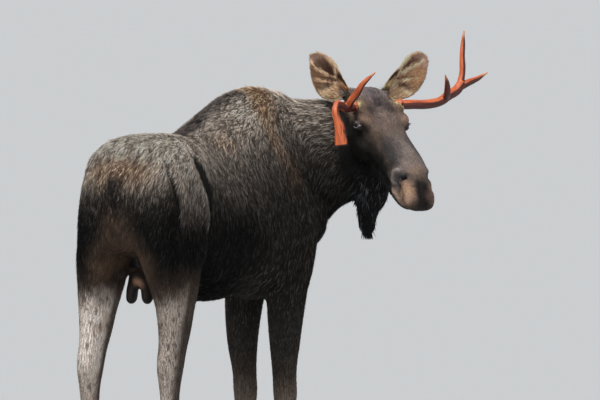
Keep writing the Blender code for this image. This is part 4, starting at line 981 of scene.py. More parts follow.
def ear_leaf(side, rows=46, across=27, thick=0.0042):
    """One ear as a thin cupped shell: points, faces, and for each point how far up it is, across from -1 to 1, and 1 if inside."""
    v, f = ear_sheet(side, rows, across)
    v = np.asarray(v)
    g = v.reshape(rows, across, 3)
    up, over = np.linspace(0, 1, rows), np.linspace(-1, 1, across)
    if side == "right":
        outer = np.interp(up, [0, 0.11, 0.255, 0.417, 0.586, 0.75, 0.92, 1], [0.010, 0.014, 0.020, 0.014, 0.008, 0.0, -0.007, -0.005])
        inner = np.interp(up, [0, 0.144, 0.30, 0.45, 0.55, 0.70, 0.90, 1], [-0.012, -0.014, -0.012, -0.003, 0.005, 0.010, 0.005, 0.0])
    else:
        outer = np.interp(up, [0, 0.32, 0.45, 0.59, 0.73, 0.82, 0.95, 1], [0.002, 0.007, 0.009, 0.011, 0.012, 0.010, 0.004, 0.0])
        inner = np.interp(up, [0, 0.48, 0.60, 0.69, 0.80, 0.92, 1], [0.0, 0.001, 0.008, 0.012, 0.011, 0.006, 0.0])
    rimward = unit(g[:, -1] - g[:, 0])[:, None, :]
    g = g + rimward * (outer[:, None] * np.maximum(over, 0) - inner[:, None] * np.maximum(-over, 0))[:, :, None]
    v = g.reshape(-1, 3)
    du = np.gradient(g, axis=0)
    dv = np.gradient(g, axis=1)
    n = unit(np.cross(du.reshape(-1, 3), dv.reshape(-1, 3)))
    opening = unit(HEAD[:3, :3] @ np.array(EARS[side][2], float))
    if (n.mean(0) @ opening) < 0:
        n = -n
    s = np.repeat(np.linspace(0, 1, rows), across)
    t = np.tile(np.linspace(-1, 1, across), rows)
    half = thick * 0.5 * (1.0 - 0.55 * np.abs(t) ** 4) * (1.0 - 0.5 * smooth01(0.8, 1.0, s)) * (1 + 1.2 * smooth01(0.25, 0.0, s))
    rib = 0.0016 * (np.exp(-(((t + 0.30) / 0.07) ** 2)) + np.exp(-(((t - 0.15) / 0.07) ** 2))) * smooth01(0.05, 0.2, s) * smooth01(0.95, 0.6, s)
    front = v + n * (half + rib)[:, None]
    back = v - n * half[:, None]
    pts = np.concatenate([front, back])
    k = len(v)
    faces = [tuple(q) for q in f] + [tuple(i + k for i in reversed(q)) for q in f]
    border = list(range(across)) + [i * across + across - 1 for i in range(1, rows)] + [(rows - 1) * across + j for j in range(across - 2, -1, -1)]
    border += [i * across for i in range(rows - 2, 0, -1)]
    for a, b in zip(border, border[1:] + border[:1]):
        faces.append((a, a + k, b + k, b))
    return pts, faces, np.tile(s, 2), np.tile(t, 2), np.repeat([1.0, 0.0], k), g, n.reshape(rows, across, 3)


# ---------------------------------------------------------------- markings, shared by skin and coat
STATION = [-0.70, -0.40, -0.10, 0.20, 0.50, 0.80]
HEIGHT = [1.10, 1.22, 1.30, 1.38, 1.46, 1.54, 1.62, 1.70, 1.78]
GRIZZLE = [[0.00, 0.01, 0.06, 0.24, 1.00, 1.30, 1.25, 1.05, 1.05],        # how pale the coat is at each station and height
           [0.00, 0.02, 0.06, 0.26, 0.70, 1.08, 1.25, 1.25, 1.15],
           [0.00, 0.00, 0.12, 0.36, 0.58, 0.74, 0.90, 1.05, 1.10],
           [0.12, 0.14, 0.17, 0.24, 0.36, 0.56, 0.95, 1.20, 1.25],
           [0.15, 0.16, 0.17, 0.20, 0.24, 0.36, 0.66, 0.90, 1.10],
           [0.02, 0.03, 0.04, 0.08, 0.15, 0.34, 0.62, 0.86, 1.00]]
# places on the face (left side positive, mirrored), how far each reaches, its colour and how strong it is
FACE = [
    ((0.095, 0.000, 0.100), (0.130, 0.120, 0.060), (122, 106, 101), 1.00),
    ((0.025, 0.000, 0.100), (0.050, 0.080, 0.060), (160, 144, 142), 0.95),
    ((0.170, 0.000, 0.075), (0.060, 0.045, 0.040), (136, 117, 108), 0.85),
    ((0.105, 0.070, 0.066), (0.060, 0.035, 0.040), (116, 92, 76), 0.70),
    ((0.170, 0.090, 0.054), (0.046, 0.034, 0.026), (132, 106, 92), 0.90),
    ((0.073, 0.105, 0.008), (0.040, 0.040, 0.030), (124, 102, 90), 0.85),
    ((0.230, 0.035, 0.062), (0.090, 0.050, 0.040), (112, 96, 88), 0.80),
    ((0.231, 0.072, 0.036), (0.050, 0.026, 0.026), (104, 86, 74), 0.80),
    ((0.285, 0.060, 0.041), (0.046, 0.026, 0.026), (78, 62, 52), 0.85),
    ((0.311, 0.077, 0.006), (0.056, 0.026, 0.020), (104, 88, 82), 0.85),
    ((0.392, 0.060, 0.038), (0.098, 0.048, 0.036), (54, 52, 54), 0.95),
    ((0.384, 0.026, 0.062), (0.120, 0.036, 0.040), (114, 103, 99), 0.80),
    ((0.410, 0.000, 0.070), (0.120, 0.030, 0.040), (134, 121, 114), 0.75),
    ((0.367, 0.077, -0.013), (0.050, 0.030, 0.022), (46, 37, 31), 0.90),
    ((0.439, 0.075, 0.010), (0.030, 0.030, 0.026), (34, 30, 29), 0.90),
    ((0.470, 0.074, 0.010), (0.026, 0.030, 0.030), (92, 82, 77), 0.70),
    ((0.442, 0.072, -0.040), (0.036, 0.030, 0.030), (96, 89, 83), 0.80),
    ((0.494, 0.039, 0.045), (0.060, 0.045, 0.030), (124, 110, 105), 0.90),
    ((0.530, 0.015, 0.045), (0.034, 0.034, 0.030), (136, 112, 98), 0.85),
    ((0.340, 0.052, 0.046), (0.050, 0.026, 0.030), (66, 60, 60), 0.85),
    ((0.372, 0.064, 0.034), (0.060, 0.026, 0.030), (56, 53, 52), 0.90),
    ((0.425, 0.058, 0.042), (0.050, 0.026, 0.030), (70, 65, 65), 0.80),
    ((0.365, 0.034, 0.056), (0.060, 0.020, 0.030), (86, 77, 75), 0.70),
    ((0.038, 0.000, 0.088), (0.044, 0.056, 0.050), (72, 65, 69), 0.85),
    ((0.098, 0.000, 0.080), (0.050, 0.058, 0.060), (46, 41, 43), 0.95),
    ((0.124, 0.046, 0.071), (0.032, 0.028, 0.030), (44, 38, 37), 0.92),
    ((0.108, 0.088, 0.070), (0.030, 0.024, 0.030), (112, 94, 74), 0.75),
]


def mixed(a, b, t):
    return a + (b - a) * np.clip(t, 0, 1)[:, None]


def markings(p, z):
    """Ground colour, colour of the pale hairs, and the share of pale hairs at each point."""
    x, y, zz, h = p[:, 0], p[:, 1], p[:, 2], z["h"]
    q = p * np.array([1, 0, 1]) + np.abs(p[:, 1:2]) * np.array([0, 1, 0])
    wob = zz + 0.026 * noise(p, 0.11, 1) + 0.016 * noise(p, 0.035, 2)
    columns = np.stack([np.interp(wob, HEIGHT, row) for row in GRIZZLE], 1)
    at = np.clip(np.interp(x, STATION, np.arange(len(STATION))), 0, len(STATION) - 1.001)
    i = at.astype(int)
    k = np.arange(len(p))
    up = columns[k, i] * (1 - (at - i)) + columns[k, i + 1] * (at - i)
    up = np.maximum(up, z["band"] * np.interp(zz, [1.24, 1.30, 1.38, 1.46, 1.54], [0.05, 0.38, 0.74, 1.00, 1.25]))
    edge = z["band"] * smooth01(-0.036, -0.004, z["s"])
    up = np.clip(up + edge * np.interp(zz, [1.22, 1.28, 1.40, 1.52], [0.20, 0.46, 0.24, 0.06]), 0, 1.35)
    ground = mixed(srgb(14, 14, 14)[None], srgb(120, 108, 99)[None], up**1.2)
    pale = mixed(srgb(66, 61, 58)[None], srgb(234, 219, 204)[None], up)
    glow = (1 + 0.75 * np.clip(up - 1, 0, 1))[:, None]
    ground, pale = ground * glow, pale * glow
    # a dark line along the back from the loin over the hump
    spine = smooth01(0.052, 0.018, np.abs(y) + 0.010 * noise(p, 0.05, 9)) * smooth01(-0.34, -0.20, x) * smooth01(0.42, 0.25, x) * (zz > 1.5) * (1 - z["head"])
    ground = mixed(ground, srgb(40, 36, 40)[None], 0.85 * spine)
    pale = mixed(pale, srgb(96, 88, 88)[None], 0.80 * spine)
    share = 0.10 + 0.40 * up
    # rusty and golden patches: the hump's front and its stripe down the shoulder, behind the shoulder, round the tail
    for place, reach, much in (((0.430, 0.050, 1.780), (0.150, 0.170, 0.105), 0.90), ((0.366, 0.110, 1.715), (0.120, 0.130, 0.100), 0.80),
                               ((0.319, 0.159, 1.637), (0.080, 0.100, 0.090), 0.50), ((0.340, 0.180, 1.560), (0.090, 0.100, 0.100), 0.35),
                               ((-0.025, 0.131, 1.593), (0.120, 0.100, 0.070), 0.35), ((-0.690, 0.060, 1.490), (0.140, 0.170, 0.100), 0.70),
                               ((0.420, 0.205, 1.480), (0.130, 0.080, 0.110), 0.25)):
        w = bump_at(q, place, reach, 2.0) * much
        ground = mixed(ground, srgb(136, 103, 80)[None], w)
        pale = mixed(pale, srgb(239, 199, 158)[None], w)
        share = np.maximum(share, 0.34 * w)
    seam = ridge(q, [(-0.735, 0.0, 1.360), (-0.722, 0.012, 1.300), (-0.712, 0.020, 1.240), (-0.660, 0.03, 1.165), (-0.60, 0.06, 1.10)], 0.050)
    inner = bump_at(q, (-0.650, 0.085, 1.120), (0.100, 0.095, 0.180), 2.0)
    groin = bump_at(q, (-0.540, 0.040, 1.120), (0.130, 0.110, 0.090), 2.0)
    flesh = np.clip(0.95 * seam * smooth01(1.40, 1.30, zz) + 0.85 * inner + groin, 0, 1) * np.clip(0.85 + 0.4 * noise(p, 0.03, 14), 0, 1)
    ground = mixed(ground, srgb(116, 93, 76)[None], flesh)
    pale = mixed(pale, srgb(144, 116, 96)[None], flesh)
    # painted shade: the folds are darkened inside where their shadow falls, and are pale along their edge
    dark = np.clip(z["gap"] * 0.98 + z["rump_fold_shade"] * 0.75, 0, 1)
    ground = mixed(ground, srgb(9, 8, 8)[None], dark)
    pale = mixed(pale, srgb(30, 24, 22)[None], dark)
    share = share * (1 - 0.9 * dark)
    # painted shade: the neck's fold is darkened where its shadow falls
    neck_fold_shade = ridge(p, NECK_FOLD, 0.026, 0.2)
    ground = mixed(ground, srgb(14, 13, 13)[None], 0.6 * neck_fold_shade)
    share = share * (1 - 0.6 * neck_fold_shade)
    # legs: pale behind and inside, brown in front, with small dark spots
    spots = noise(p, 0.012, 5)
    patch = noise(p, 0.045, 6)
    for name, feet, top, full in (("hind", ("hind_left", "hind_right"), 1.060, 0.930), ("fore", ("front_left", "front_right"), 0.69, 0.50)):
        on = (z[name] > 0)
        edge = zz + 0.035 * noise(p, 0.09, 7) + 0.016 * noise(p, 0.02, 8)
        w = smooth01(top, full, edge) * on
        ahead = np.zeros(len(p))
        for foot in feet:
            mine = (y > 0) == foot.endswith("left")
            hs = np.linspace(0.05, 1.05, 21)
            cx = np.interp(zz, hs, [leg_centre(foot, float(v))[0] for v in hs])
            ahead = np.where(mine, x - cx, ahead)
        front = smooth01(-0.050, -0.015, ahead - 0.022 * (y > 0)) if name == "hind" else smooth01(-0.002, 0.045, ahead)
        ground = mixed(ground, srgb(92, 74, 62)[None], smooth01(top + 0.09, full + 0.02, edge) * on * 0.90)
        w = w**1.7
        tone = mixed(srgb(206, 190, 178)[None] if name == "hind" else srgb(120, 108, 98)[None], srgb(140, 122, 108)[None], smooth01(-0.1, 0.7, patch) * 0.6)
        # painted light: the left hind leg's hair is painted paler where sunlight falls on it, and the right one's
        # darker as painted shade, evening out below about 0.6 m
        if name == "hind":        # the left one is the paler of the two
            tone = tone * (1 + (np.where(y > 0, 1.52, 0.68) - 1) * smooth01(0.58, 0.84, zz))[:, None]
        leg = mixed(tone, srgb(66, 55, 47)[None], front * 0.90)
        leg = mixed(leg, srgb(62, 48, 40)[None], smooth01(0.42, 0.62, spots) * 0.75 * smooth01(0.40, 0.70, zz))
        leg = mixed(leg, srgb(96, 82, 72)[None], smooth01(0.28, 0.12, zz) * 0.6)
        ground = mixed(ground, leg, w)
        pale = mixed(pale, np.clip(leg * 1.35, 0, 0.8), w)
        share = share * (1 - w) + 0.35 * w
    # head
    f = folded(h)
    hx, hy, hz = h[:, 0], f[:, 1], h[:, 2]
    f = f + 0.006 * np.stack([noise(p, 0.022, 21), noise(p, 0.022, 22), noise(p, 0.022, 23)], 1)
    face = np.tile(srgb(92, 79, 71), (len(p), 1))
    low = smooth01(0.012, -0.036, f[:, 2] + 0.10 * (0.30 - f[:, 0]) * (f[:, 0] > 0.2)) * smooth01(0.455, 0.42, f[:, 0])
    face = mixed(face, srgb(26, 24, 22)[None], low)
    face = mixed(face, srgb(46, 42, 37)[None], low * bump_at(f, (0.245, 0.084, -0.030), (0.080, 0.050, 0.040)))
    for place, reach, tone, much in FACE:
        face = mixed(face, srgb(*tone)[None], much * bump_at(f, place, np.array(reach) * 1.3, 2.0) * (1 - 0.85 * low))
    face = mixed(face, srgb(20, 19, 18)[None], 0.95 * bump_at(f, (0.203, 0.092, 0.012), (0.045, 0.040, 0.034)))
    face = mixed(face, srgb(18, 18, 16)[None], 0.95 * bump_at(f, (0.176, 0.100, -0.022), (0.060, 0.050, 0.036)))
    face = mixed(face, srgb(24, 22, 21)[None], 0.80 * bump_at(f, (0.124, 0.108, -0.020), (0.050, 0.050, 0.050)))
    face = mixed(face, srgb(64, 57, 50)[None], 0.55 * bump_at(f, (0.265, 0.062, -0.088), (0.050, 0.050, 0.034)) * smooth01(-0.2, 0.6, noise(p, 0.009, 24)))
    face = mixed(face, srgb(216, 190, 128)[None], 0.95 * ridge(f, [(0.106, 0.101, 0.066), (0.096, 0.091, 0.077), (0.066, 0.066, 0.081)], 0.0075) * smooth01(-0.75, -0.1, noise(p, 0.010, 29)))
    face = mixed(face, srgb(40, 26, 28)[None], 0.85 * bump_at(f, (0.118, 0.108, 0.052), (0.018, 0.018, 0.016)))
    grain = (0.26 * noise(p, 0.0085, 27) + 0.16 * noise(p, 0.020, 28)) * (0.35 + 0.65 * smooth01(0.24, 0.14, hx))
    face = face * (1 + grain[:, None])
    curls = bump_at(f, (0.100, 0.0, 0.080), (0.070, 0.075, 0.06))
    face = face * np.clip(1 + 1.3 * curls * noise(p, 0.0085, 31), 0.45, 1.9)[:, None]
    # muzzle
    face = mixed(face, srgb(88, 74, 66)[None], 0.65 * smooth01(0.50, 0.56, f[:, 0]))
    near = np.where(h[:, 1] < 0.012, 1.0, 0.30)
    face = mixed(face, srgb(194, 154, 126)[None], near * 0.95 * bump_at(f, (0.578, 0.054, -0.012), (0.056, 0.044, 0.062)))
    face = mixed(face, srgb(180, 146, 124)[None], near * 0.92 * bump_at(f, (0.606, 0.056, -0.042), (0.050, 0.040, 0.050)))
    face = mixed(face, srgb(17, 14, 12)[None], 0.96 * smooth01(0.546, 0.580, f[:, 0] + 0.10 * f[:, 2] + 0.008 * noise(p, 0.020, 25)) * smooth01(0.034, 0.008, np.where(h[:, 1] < 0, f[:, 1], 0.6 * f[:, 1]) + 0.004 * noise(p, 0.014, 26)))
    face = mixed(face, srgb(112, 84, 76)[None], 0.85 * bump_at(h, (0.616, 0.034, -0.012), (0.036, 0.036, 0.034)))
    face = mixed(face, srgb(62, 50, 42)[None], 0.70 * bump_at(h, (0.630, -0.030, -0.045), (0.040, 0.030, 0.030)))
    face = mixed(face, srgb(50, 42, 37)[None], 0.60 * smooth01(-0.035, -0.060, f[:, 2]) * smooth01(0.600, 0.62, f[:, 0]))
    # painted shade: the hollow behind the nostril is darkened grey-blue and the nostril's opening dark
    face = mixed(face, srgb(74, 76, 82)[None], 0.95 * ridge(f, HOLLOW, 0.0190))
    face = mixed(face, srgb(40, 42, 44)[None], 0.95 * ridge(f, NOSTRIL, 0.0140))
    face = mixed(face, srgb(150, 140, 136)[None], 0.75 * ridge(f, NOSTRIL_WING, 0.0090, 0.2))
    band = [(a, b + 0.004, c + 0.021) for a, b, c in MOUTH[1:7]]
    face = mixed(face, srgb(178, 150, 134)[None], 0.95 * ridge(f, band, 0.0140, 0.10))
    face = mixed(face, srgb(44, 28, 22)[None], 0.95 * ridge(f, NOSTRIL_TAIL, 0.0060, 0.05))
    # painted shade: the lower lip below the mouth's line is darkened
    face = mixed(face, srgb(16, 14, 15)[None], 0.98 * ridge(f, [(a, b, c - 0.010) for a, b, c in MOUTH], 0.016))
    face = mixed(face, srgb(23, 21, 20)[None], 0.95 * smooth01(-0.108, -0.122, f[:, 2]) * smooth01(0.60, 0.54, f[:, 0]))
    ground = mixed(ground, face, z["head"])
    light = np.clip(face * 1.75 + 0.006, 0, 0.62)
    pale = mixed(pale, light, z["head"])
    share = share * (1 - z["head"]) + z["head"] * (0.22 + 0.10 * smooth01(0.20, 0.10, hx))
    # bell, tail, bare skin between the thighs
    # painted highlight: the bell's pale strands are blue-grey, and more of them on its upper part, standing in for the
    # sheen on its black hair
    ground = mixed(ground, srgb(19, 20, 22)[None], z["bell"])
    pale = mixed(pale, srgb(84, 88, 94)[None], z["bell"])
    share = share * (1 - z["bell"]) + (0.08 + 0.22 * smooth01(1.24, 1.36, zz)) * z["bell"]
    low_tail = z["tail"] * smooth01(1.492, 1.450, zz + 0.01 * noise(p, 0.02, 15))
    ground = mixed(ground, srgb(34, 30, 29)[None], low_tail)
    pale = mixed(pale, srgb(80, 70, 64)[None], low_tail)
    share = share * (1 - z["tail"]) + 0.10 * z["tail"]
    ball_spot = bump_at(p, (-0.548, -0.010, 1.030), 0.036)
    ground = mixed(ground, mixed(srgb(40, 33, 30)[None], srgb(190, 144, 118)[None], ball_spot), z["sack"])
    share = share * (1 - z["sack"])
    return np.clip(ground, 0.002, 0.9), np.clip(pale, 0.004, 0.9), np.clip(share, 0, 0.9)


# ---------------------------------------------------------------- lie of the coat
TO_HEAD = HEAD[:3, :3] / HEAD_SIZE


def lie(p, n, z):
    """Unit vectors along the skin, the way the hair points."""
    x, zz = p[:, 0], p[:, 2]
    down = np.interp(x, [-0.75, -0.55, -0.40, -0.30, 0.00, 0.25, 0.42, 0.60], [1.5, 0.75, 0.60, 1.3, 0.42, 0.45, 0.62, 0.35])
    steep = np.interp(x, [-0.75, -0.45, -0.30, 0.00, 0.60], [2.5, 2.3, 5.0, 3.2, 2.2])
    fall = smooth01(np.interp(x, [-0.7, -0.3, 0.0, 0.4], [1.50, 1.57, 1.64, 1.74]), np.interp(x, [-0.7, -0.3, 0.0, 0.4], [1.26, 1.40, 1.44, 1.46]), zz)
    k = down + (steep - down) * fall
    f = np.stack([-np.ones(len(p)), np.zeros(len(p)), -k], 1)
    belly = smooth01(-0.35, -0.75, n[:, 2]) * (zz > 0.8)
    f = f + (np.array([-1.0, 0, -0.9]) - f) * belly[:, None]
    breast = smooth01(0.30, 0.75, n[:, 0]) * smooth01(1.55, 1.35, zz) * (x > 0.4)
    f = f + (np.array([-0.15, 0, -1.6]) - f) * breast[:, None]
    neck = z["neck"]
    g = np.stack([np.full(len(p), -0.72), np.full(len(p), 0.62), -0.30 - 1.3 * smooth01(1.62, 1.35, zz)], 1)
    f = f + (g - f) * neck[:, None]
    legs = np.maximum(smooth01(1.16, 0.98, zz) * (x > 0.25), smooth01(1.30, 1.05, zz) * (x < -0.28))
    f = f + (np.array([-0.16, 0, -1.0]) - f) * legs[:, None]
    h = z["h"]
    side = np.where(h[:, 1] < 0, -1.0, 1.0)
    cheek = smooth01(0.03, -0.06, h[:, 2])
    crown = smooth01(0.12, 0.05, h[:, 0]) * smooth01(0.04, 0.07, h[:, 2])
    muzzle = smooth01(0.50, 0.57, h[:, 0])
    a = np.stack([-np.ones(len(p)), 0.20 * side, -0.75 * cheek + 0.25 * crown], 1)
    a = a + (np.stack([-0.35 * np.ones(len(p)), 0.75 * side, -0.55 * np.ones(len(p))], 1) - a) * (muzzle * 0.7)[:, None]
    # round the eye the hair parts and sweeps back
    e = eye_place(h)
    round_eye = np.exp(-((np.hypot(e[:, 0], e[:, 1]) / 0.035) ** 2)) * (np.abs(h[:, 1]) > 0.05)
    sweep = e[:, :1] * EYE_AHEAD + e[:, 1:2] * EYE_UP * 1.5
    sweep[:, 1] *= side
    a = a + (unit(sweep) * 0.8 + np.array([-0.5, 0, 0]) - a) * (round_eye * 0.8)[:, None]
    f = f + (a @ TO_HEAD.T - f) * z["head"][:, None]
    f = f + (np.array([0.0, 0, -1.0]) - f) * z["bell"][:, None]
    f = f + (np.array([-0.45, 0, -1.0]) - f) * z["tail"][:, None]
    f = f + (np.array([-1.0, 0, -0.55]) - f) * (z["tail"] * smooth01(1.455, 1.490, zz))[:, None]
    f = f + (np.array([0.0, 0, -1.0]) - f) * z["sack"][:, None]
    f = unit(f)
    calm = 1 - 0.55 * z["head"] - 0.5 * legs - 0.35 * smooth01(-0.30, 0.0, x) * (1 - z["head"])
    f = f + (0.26 * calm)[:, None] * np.stack([noise(p, 0.10, 11), noise(p, 0.10, 12), noise(p, 0.10, 13)], 1)
    f = f - (f * n).sum(1)[:, None] * n
    return unit(f)


# ---------------------------------------------------------------- skin
def make_skin():
    pieces = body_pieces() + scrotum_pieces()
    pieces.append(loft([r + (2.0, 2.0) for r in BELL], up=(1, 0, 0), n=30, k=18))
    pieces.append(loft([r + (2.0, 2.0) for r in TAIL], up=(1, 0, 0), n=30, k=18))
    m = evaluated(mesh_of("skin", pieces), ("REMESH", dict(mode="VOXEL", voxel_size=0.0078)))
    relax(m, 7, 0.5)
    h = to_head(coords(m))
    z = zones(coords(m))
    refine(m, (z["head"] > 0.05) & (h[:, 0] > -0.06))
    p = coords(m)
    relax(m, 3, 0.5, weight=(zones(p)["head"] > 0.05) * 1.0)
    q = coords(m) * np.array([1, 0, 1]) + np.abs(coords(m)[:, 1:2]) * np.array([0, 1, 0])
    s, off, t = beside(q, FLANK_FOLD)
    s2, off2, t2 = beside(q, RUMP_FOLD)
    refine(m, ((np.abs(s) < 0.045) & (off < 0.05)) | ((np.abs(s2) < 0.030) & (off2 < 0.04)))
    # finer round the eyes, the nostrils and the mouth
    h = to_head(coords(m))
    q = folded(h)
    e = eye_place(h)
    on = zones(coords(m))["head"] > 0.5
    near_eye = (np.linalg.norm(e, axis=1) < 0.052)
    near_nose = (np.linalg.norm(near_line(q, NOSTRIL + HOLLOW + NOSTRIL_TAIL)[0], axis=1) < 0.026) | (np.linalg.norm(near_line(q, MOUTH)[0], axis=1) < 0.022)
    refine(m, on & (near_eye | near_nose))
    h = to_head(coords(m))
    e = eye_place(h)
    refine(m, (np.linalg.norm(e, axis=1) < 0.040) & (e[:, 2] > -0.015))
    h = to_head(coords(m))
    e = eye_place(h)
    relax(m, 4, 0.5, weight=(np.linalg.norm(e, axis=1) < 0.06) * 1.0)
    # inside the coat by its depth, then folds and features
    p, n = coords(m), normals_of(m)
    z = zones(p)
    p = p - n * coat_depth(p, z)[:, None]
    p = p + n * body_push(p, n, z)[:, None]
    h = to_head(p)
    push, bare = face_push(h)
    p = p + n * (push * HEAD_SIZE * z["head"])[:, None]
    set_coords(m, p)
    relax(m, 1, 0.4)
    h, lid = eyelids(to_head(coords(m)))
    p = from_head(h)
    set_coords(m, p)
    z = zones(p)
    ground, pale, share = markings(p, z)
    colour = mixed(ground * 0.80, pale * 0.75, share * 0.6)
    e = eye_place(to_head(p))
    s = eye_opening(e)
    # the pale rim of the lids: partly their pale edge, partly painted reflection of the sky; painted shade makes it
    # less pale under the upper lid, and it is fainter on the left eye
    rim = np.exp(-(((s - 1.19) / 0.17) ** 4)) * lid
    colour = mixed(colour, srgb(26, 21, 20)[None], lid)
    colour = mixed(colour, srgb(176, 168, 178)[None], rim * (0.95 - 0.40 * smooth01(0.002, 0.009, e[:, 1])) * np.where(h[:, 1] < 0, 1.0, 0.35))
    bare = np.clip(np.maximum(np.maximum(bare * z["head"], lid), 0.8 * z["sack"]), 0, 1)
    # painted shade: the insides of the nostrils and the mouth's line are darkened near black
    colour = mixed(colour, srgb(16, 13, 13)[None], smooth01(0.35, 0.8, bare * z["head"]) * (1 - lid))
    # coordinates that run along the hair, for the fine strands drawn in bump
    hs = h * np.array([70.0, 420.0, 420.0])
    legs = np.maximum(z["fore"], z["hind"]) > 0.5
    flow = np.stack([p[:, 0] * 90 + p[:, 2] * 60, p[:, 1] * 300, p[:, 2] * 260 - p[:, 0] * 120], 1)
    flow[legs] = p[legs] * np.array([380.0, 380.0, 60.0])
    flow = np.where((z["head"] > 0.5)[:, None], hs, flow)
    return m, colour, bare, flow


skin_mesh, skin_colour, skin_bare, skin_flow = make_skin()
body_points = coords(skin_mesh)
body_normals = normals_of(skin_mesh)
body_tris = triangles_of(skin_mesh)
body_bare = skin_bare.copy()
print("skin", len(body_points), len(body_tris))

# ---------------------------------------------------------------- tufts
TREE = BVHTree.FromPolygons(body_points.tolist(), body_tris.tolist())


def onto_skin(points):
    """The nearest skin point and outward normal for each point."""
    find = TREE.find_nearest
    where = np.empty((len(points), 3))
    face = np.empty(len(points), np.int64)
    for i, q in enumerate(points.tolist()):
        co, _, index, _ = find(q)
        where[i] = co
        face[i] = index
    return where, unit(body_normals[body_tris[face]].mean(1))


def tuft_mesh(name, rings, tip, up, width, thick, colours, uv, patch=0.0030):
    """Closed three-sided locks. rings: centres from the root out, each (k, 3); tip: (k, 3); width and thick: per ring (k,);
    colours: one (k, 3) per ring and one for the tip; uv: (k, 2), the middle of each lock's patch of the bake map."""
    k, m = len(tip), len(rings)
    ways = [(rings[i + 1] if i + 1 < m else tip) - rings[i] for i in range(m)]
    ends, shades = [], []
    for c, way, w, h, colour in zip(rings, ways, width, thick, colours):
        side = unit(np.cross(up, way))
        ends += [c + side * w[:, None] / 2, c - side * w[:, None] / 2, c + up * h[:, None]]
        shades += [colour, colour, colour]
    ends.append(tip)
    shades.append(colours[-1])
    per = 3 * m + 1
    v = np.stack(ends, 1).reshape(-1, 3)
    shade = np.stack(shades, 1).reshape(-1, 3)
    faces, marks = [(0, 1, 2)], [((0.0, 0.0), (0.66, 0.0), (0.33, 0.08))]
    around = ((0, 2, 0.0, 0.33), (2, 1, 0.33, 0.66), (1, 0, 0.66, 1.0))
    for i in range(m):
        a, lo, hi = 3 * i, 0.1 + 0.9 * i / m, 0.1 + 0.9 * (i + 1) / m
        for s, e, us, ue in around:
            if i + 1 < m:
                b = a + 3
                faces += [(a + s, a + e, b + e), (a + s, b + e, b + s)]
                marks += [((us, lo), (ue, lo), (ue, hi)), ((us, lo), (ue, hi), (us, hi))]
            else:
                faces.append((a + s, a + e, 3 * m))
                marks.append(((us, lo), (ue, lo), ((us + ue) / 2, hi)))
    faces, marks = np.array(faces), np.array(marks)
    loops = (faces[None] + (np.arange(k) * per)[:, None, None]).reshape(-1)
    me = bpy.data.meshes.new(name)
    me.vertices.add(len(v))
    me.vertices.foreach_set("co", v.astype(np.float32).ravel())
    me.loops.add(len(loops))
    me.loops.foreach_set("vertex_index", loops.astype(np.int32))
    me.polygons.add(len(loops) // 3)
    me.polygons.foreach_set("loop_start", np.arange(0, len(loops), 3, dtype=np.int32))
    me.update(calc_edges=True)
    colour_layer(me, "coat", shade)
    at = (np.clip(uv, 0.003, 0.997)[:, None, None] + (marks[None] - 0.5) * patch).reshape(-1, 2)
    layer = me.uv_layers.new(name="OFBake")
    layer.uv.foreach_set("vector", at.astype(np.float32).ravel())
    return me, len(loops) // 3


def scatter(chosen, spacing):
    """Roots spread over the chosen triangles, about one in each cell of the spacing given for each triangle."""
    t = body_tris[chosen]
    s = spacing[chosen]
    a, b, c = (body_points[t[:, i]] for i in range(3))
    area = np.linalg.norm(np.cross(b - a, c - a), axis=1) / 2
    w = area / s**2
    count = int(w.sum() * 2.6)
    pick = rng.choice(len(t), count, p=w / w.sum())
    r = rng.random((count, 2))
    flip = r.sum(1) > 1
    r[flip] = 1 - r[flip]
    share = np.stack([1 - r.sum(1), r[:, 0], r[:, 1]], 1)[:, :, None]
    p = (body_points[t[pick]] * share).sum(1)
    n = unit((body_normals[t[pick]] * share).sum(1))
    bare = (body_bare[t[pick]] * share[:, :, 0]).sum(1)
    level = np.round(np.log2(s[pick]) * 4)
    cell = np.floor(p / (2.0 ** (level / 4))[:, None]).astype(np.int64)
    key = ((cell[:, 0] & 0xFFFFF) << 40) | ((cell[:, 1] & 0xFFFFF) << 20) | (cell[:, 2] & 0xFFFFF)
    _, first = np.unique(key, return_index=True)
    first.sort()
    first = first[bare[first] < 0.35]
    return p[first], n[first]


def hair_length(p, n, z):
    """Length of the locks at each point."""
    zz, x, h = p[:, 2], p[:, 0], z["h"]
    out = np.full(len(p), 0.031)
    crest = smooth01(1.55, 1.75, zz) * smooth01(0.00, 0.25, x)
    out = out + 0.016 * crest
    out = out + (0.046 - out) * z["neck"] * (1 - 0.4 * crest)
    out = out + (0.050 - out) * smooth01(-0.2, -0.7, n[:, 2]) * smooth01(1.10, 1.00, zz) * (x > -0.32) * (x < 0.35)
    legs = np.maximum(smooth01(1.10, 0.80, zz) * (x > 0.25), smooth01(1.25, 0.95, zz) * (x < -0.28))
    out = out + (0.017 - out) * legs
    out = out + (0.014 - out) * smooth01(0.40, 0.25, zz)
    # nothing hangs over the folds
    out = out * (1 - 0.70 * z["gap"])
    hx, hz, hy = h[:, 0], h[:, 2], np.abs(h[:, 1])
    face = 0.0105 + 0.006 * smooth01(-0.05, -0.12, hz) - 0.0030 * smooth01(0.42, 0.52, hx)
    face = face + 0.006 * bump_at(h, (0.060, 0.0, 0.085), (0.080, 0.070, 0.06)) + 0.012 * smooth01(0.05, -0.03, hx)
    face = face + 0.026 * bump_at(h * np.array([1, 0, 1]) + np.abs(h[:, 1:2]) * np.array([0, 1, 0]), (-0.010, 0.112, 0.026), (0.060, 0.050, 0.050))
    out = out + (face - out) * z["head"]
    out = out + (0.060 - out) * z["bell"]
    out = out + (0.028 - out) * z["tail"]
    out = out + (0.008 - out) * z["sack"]
    return out


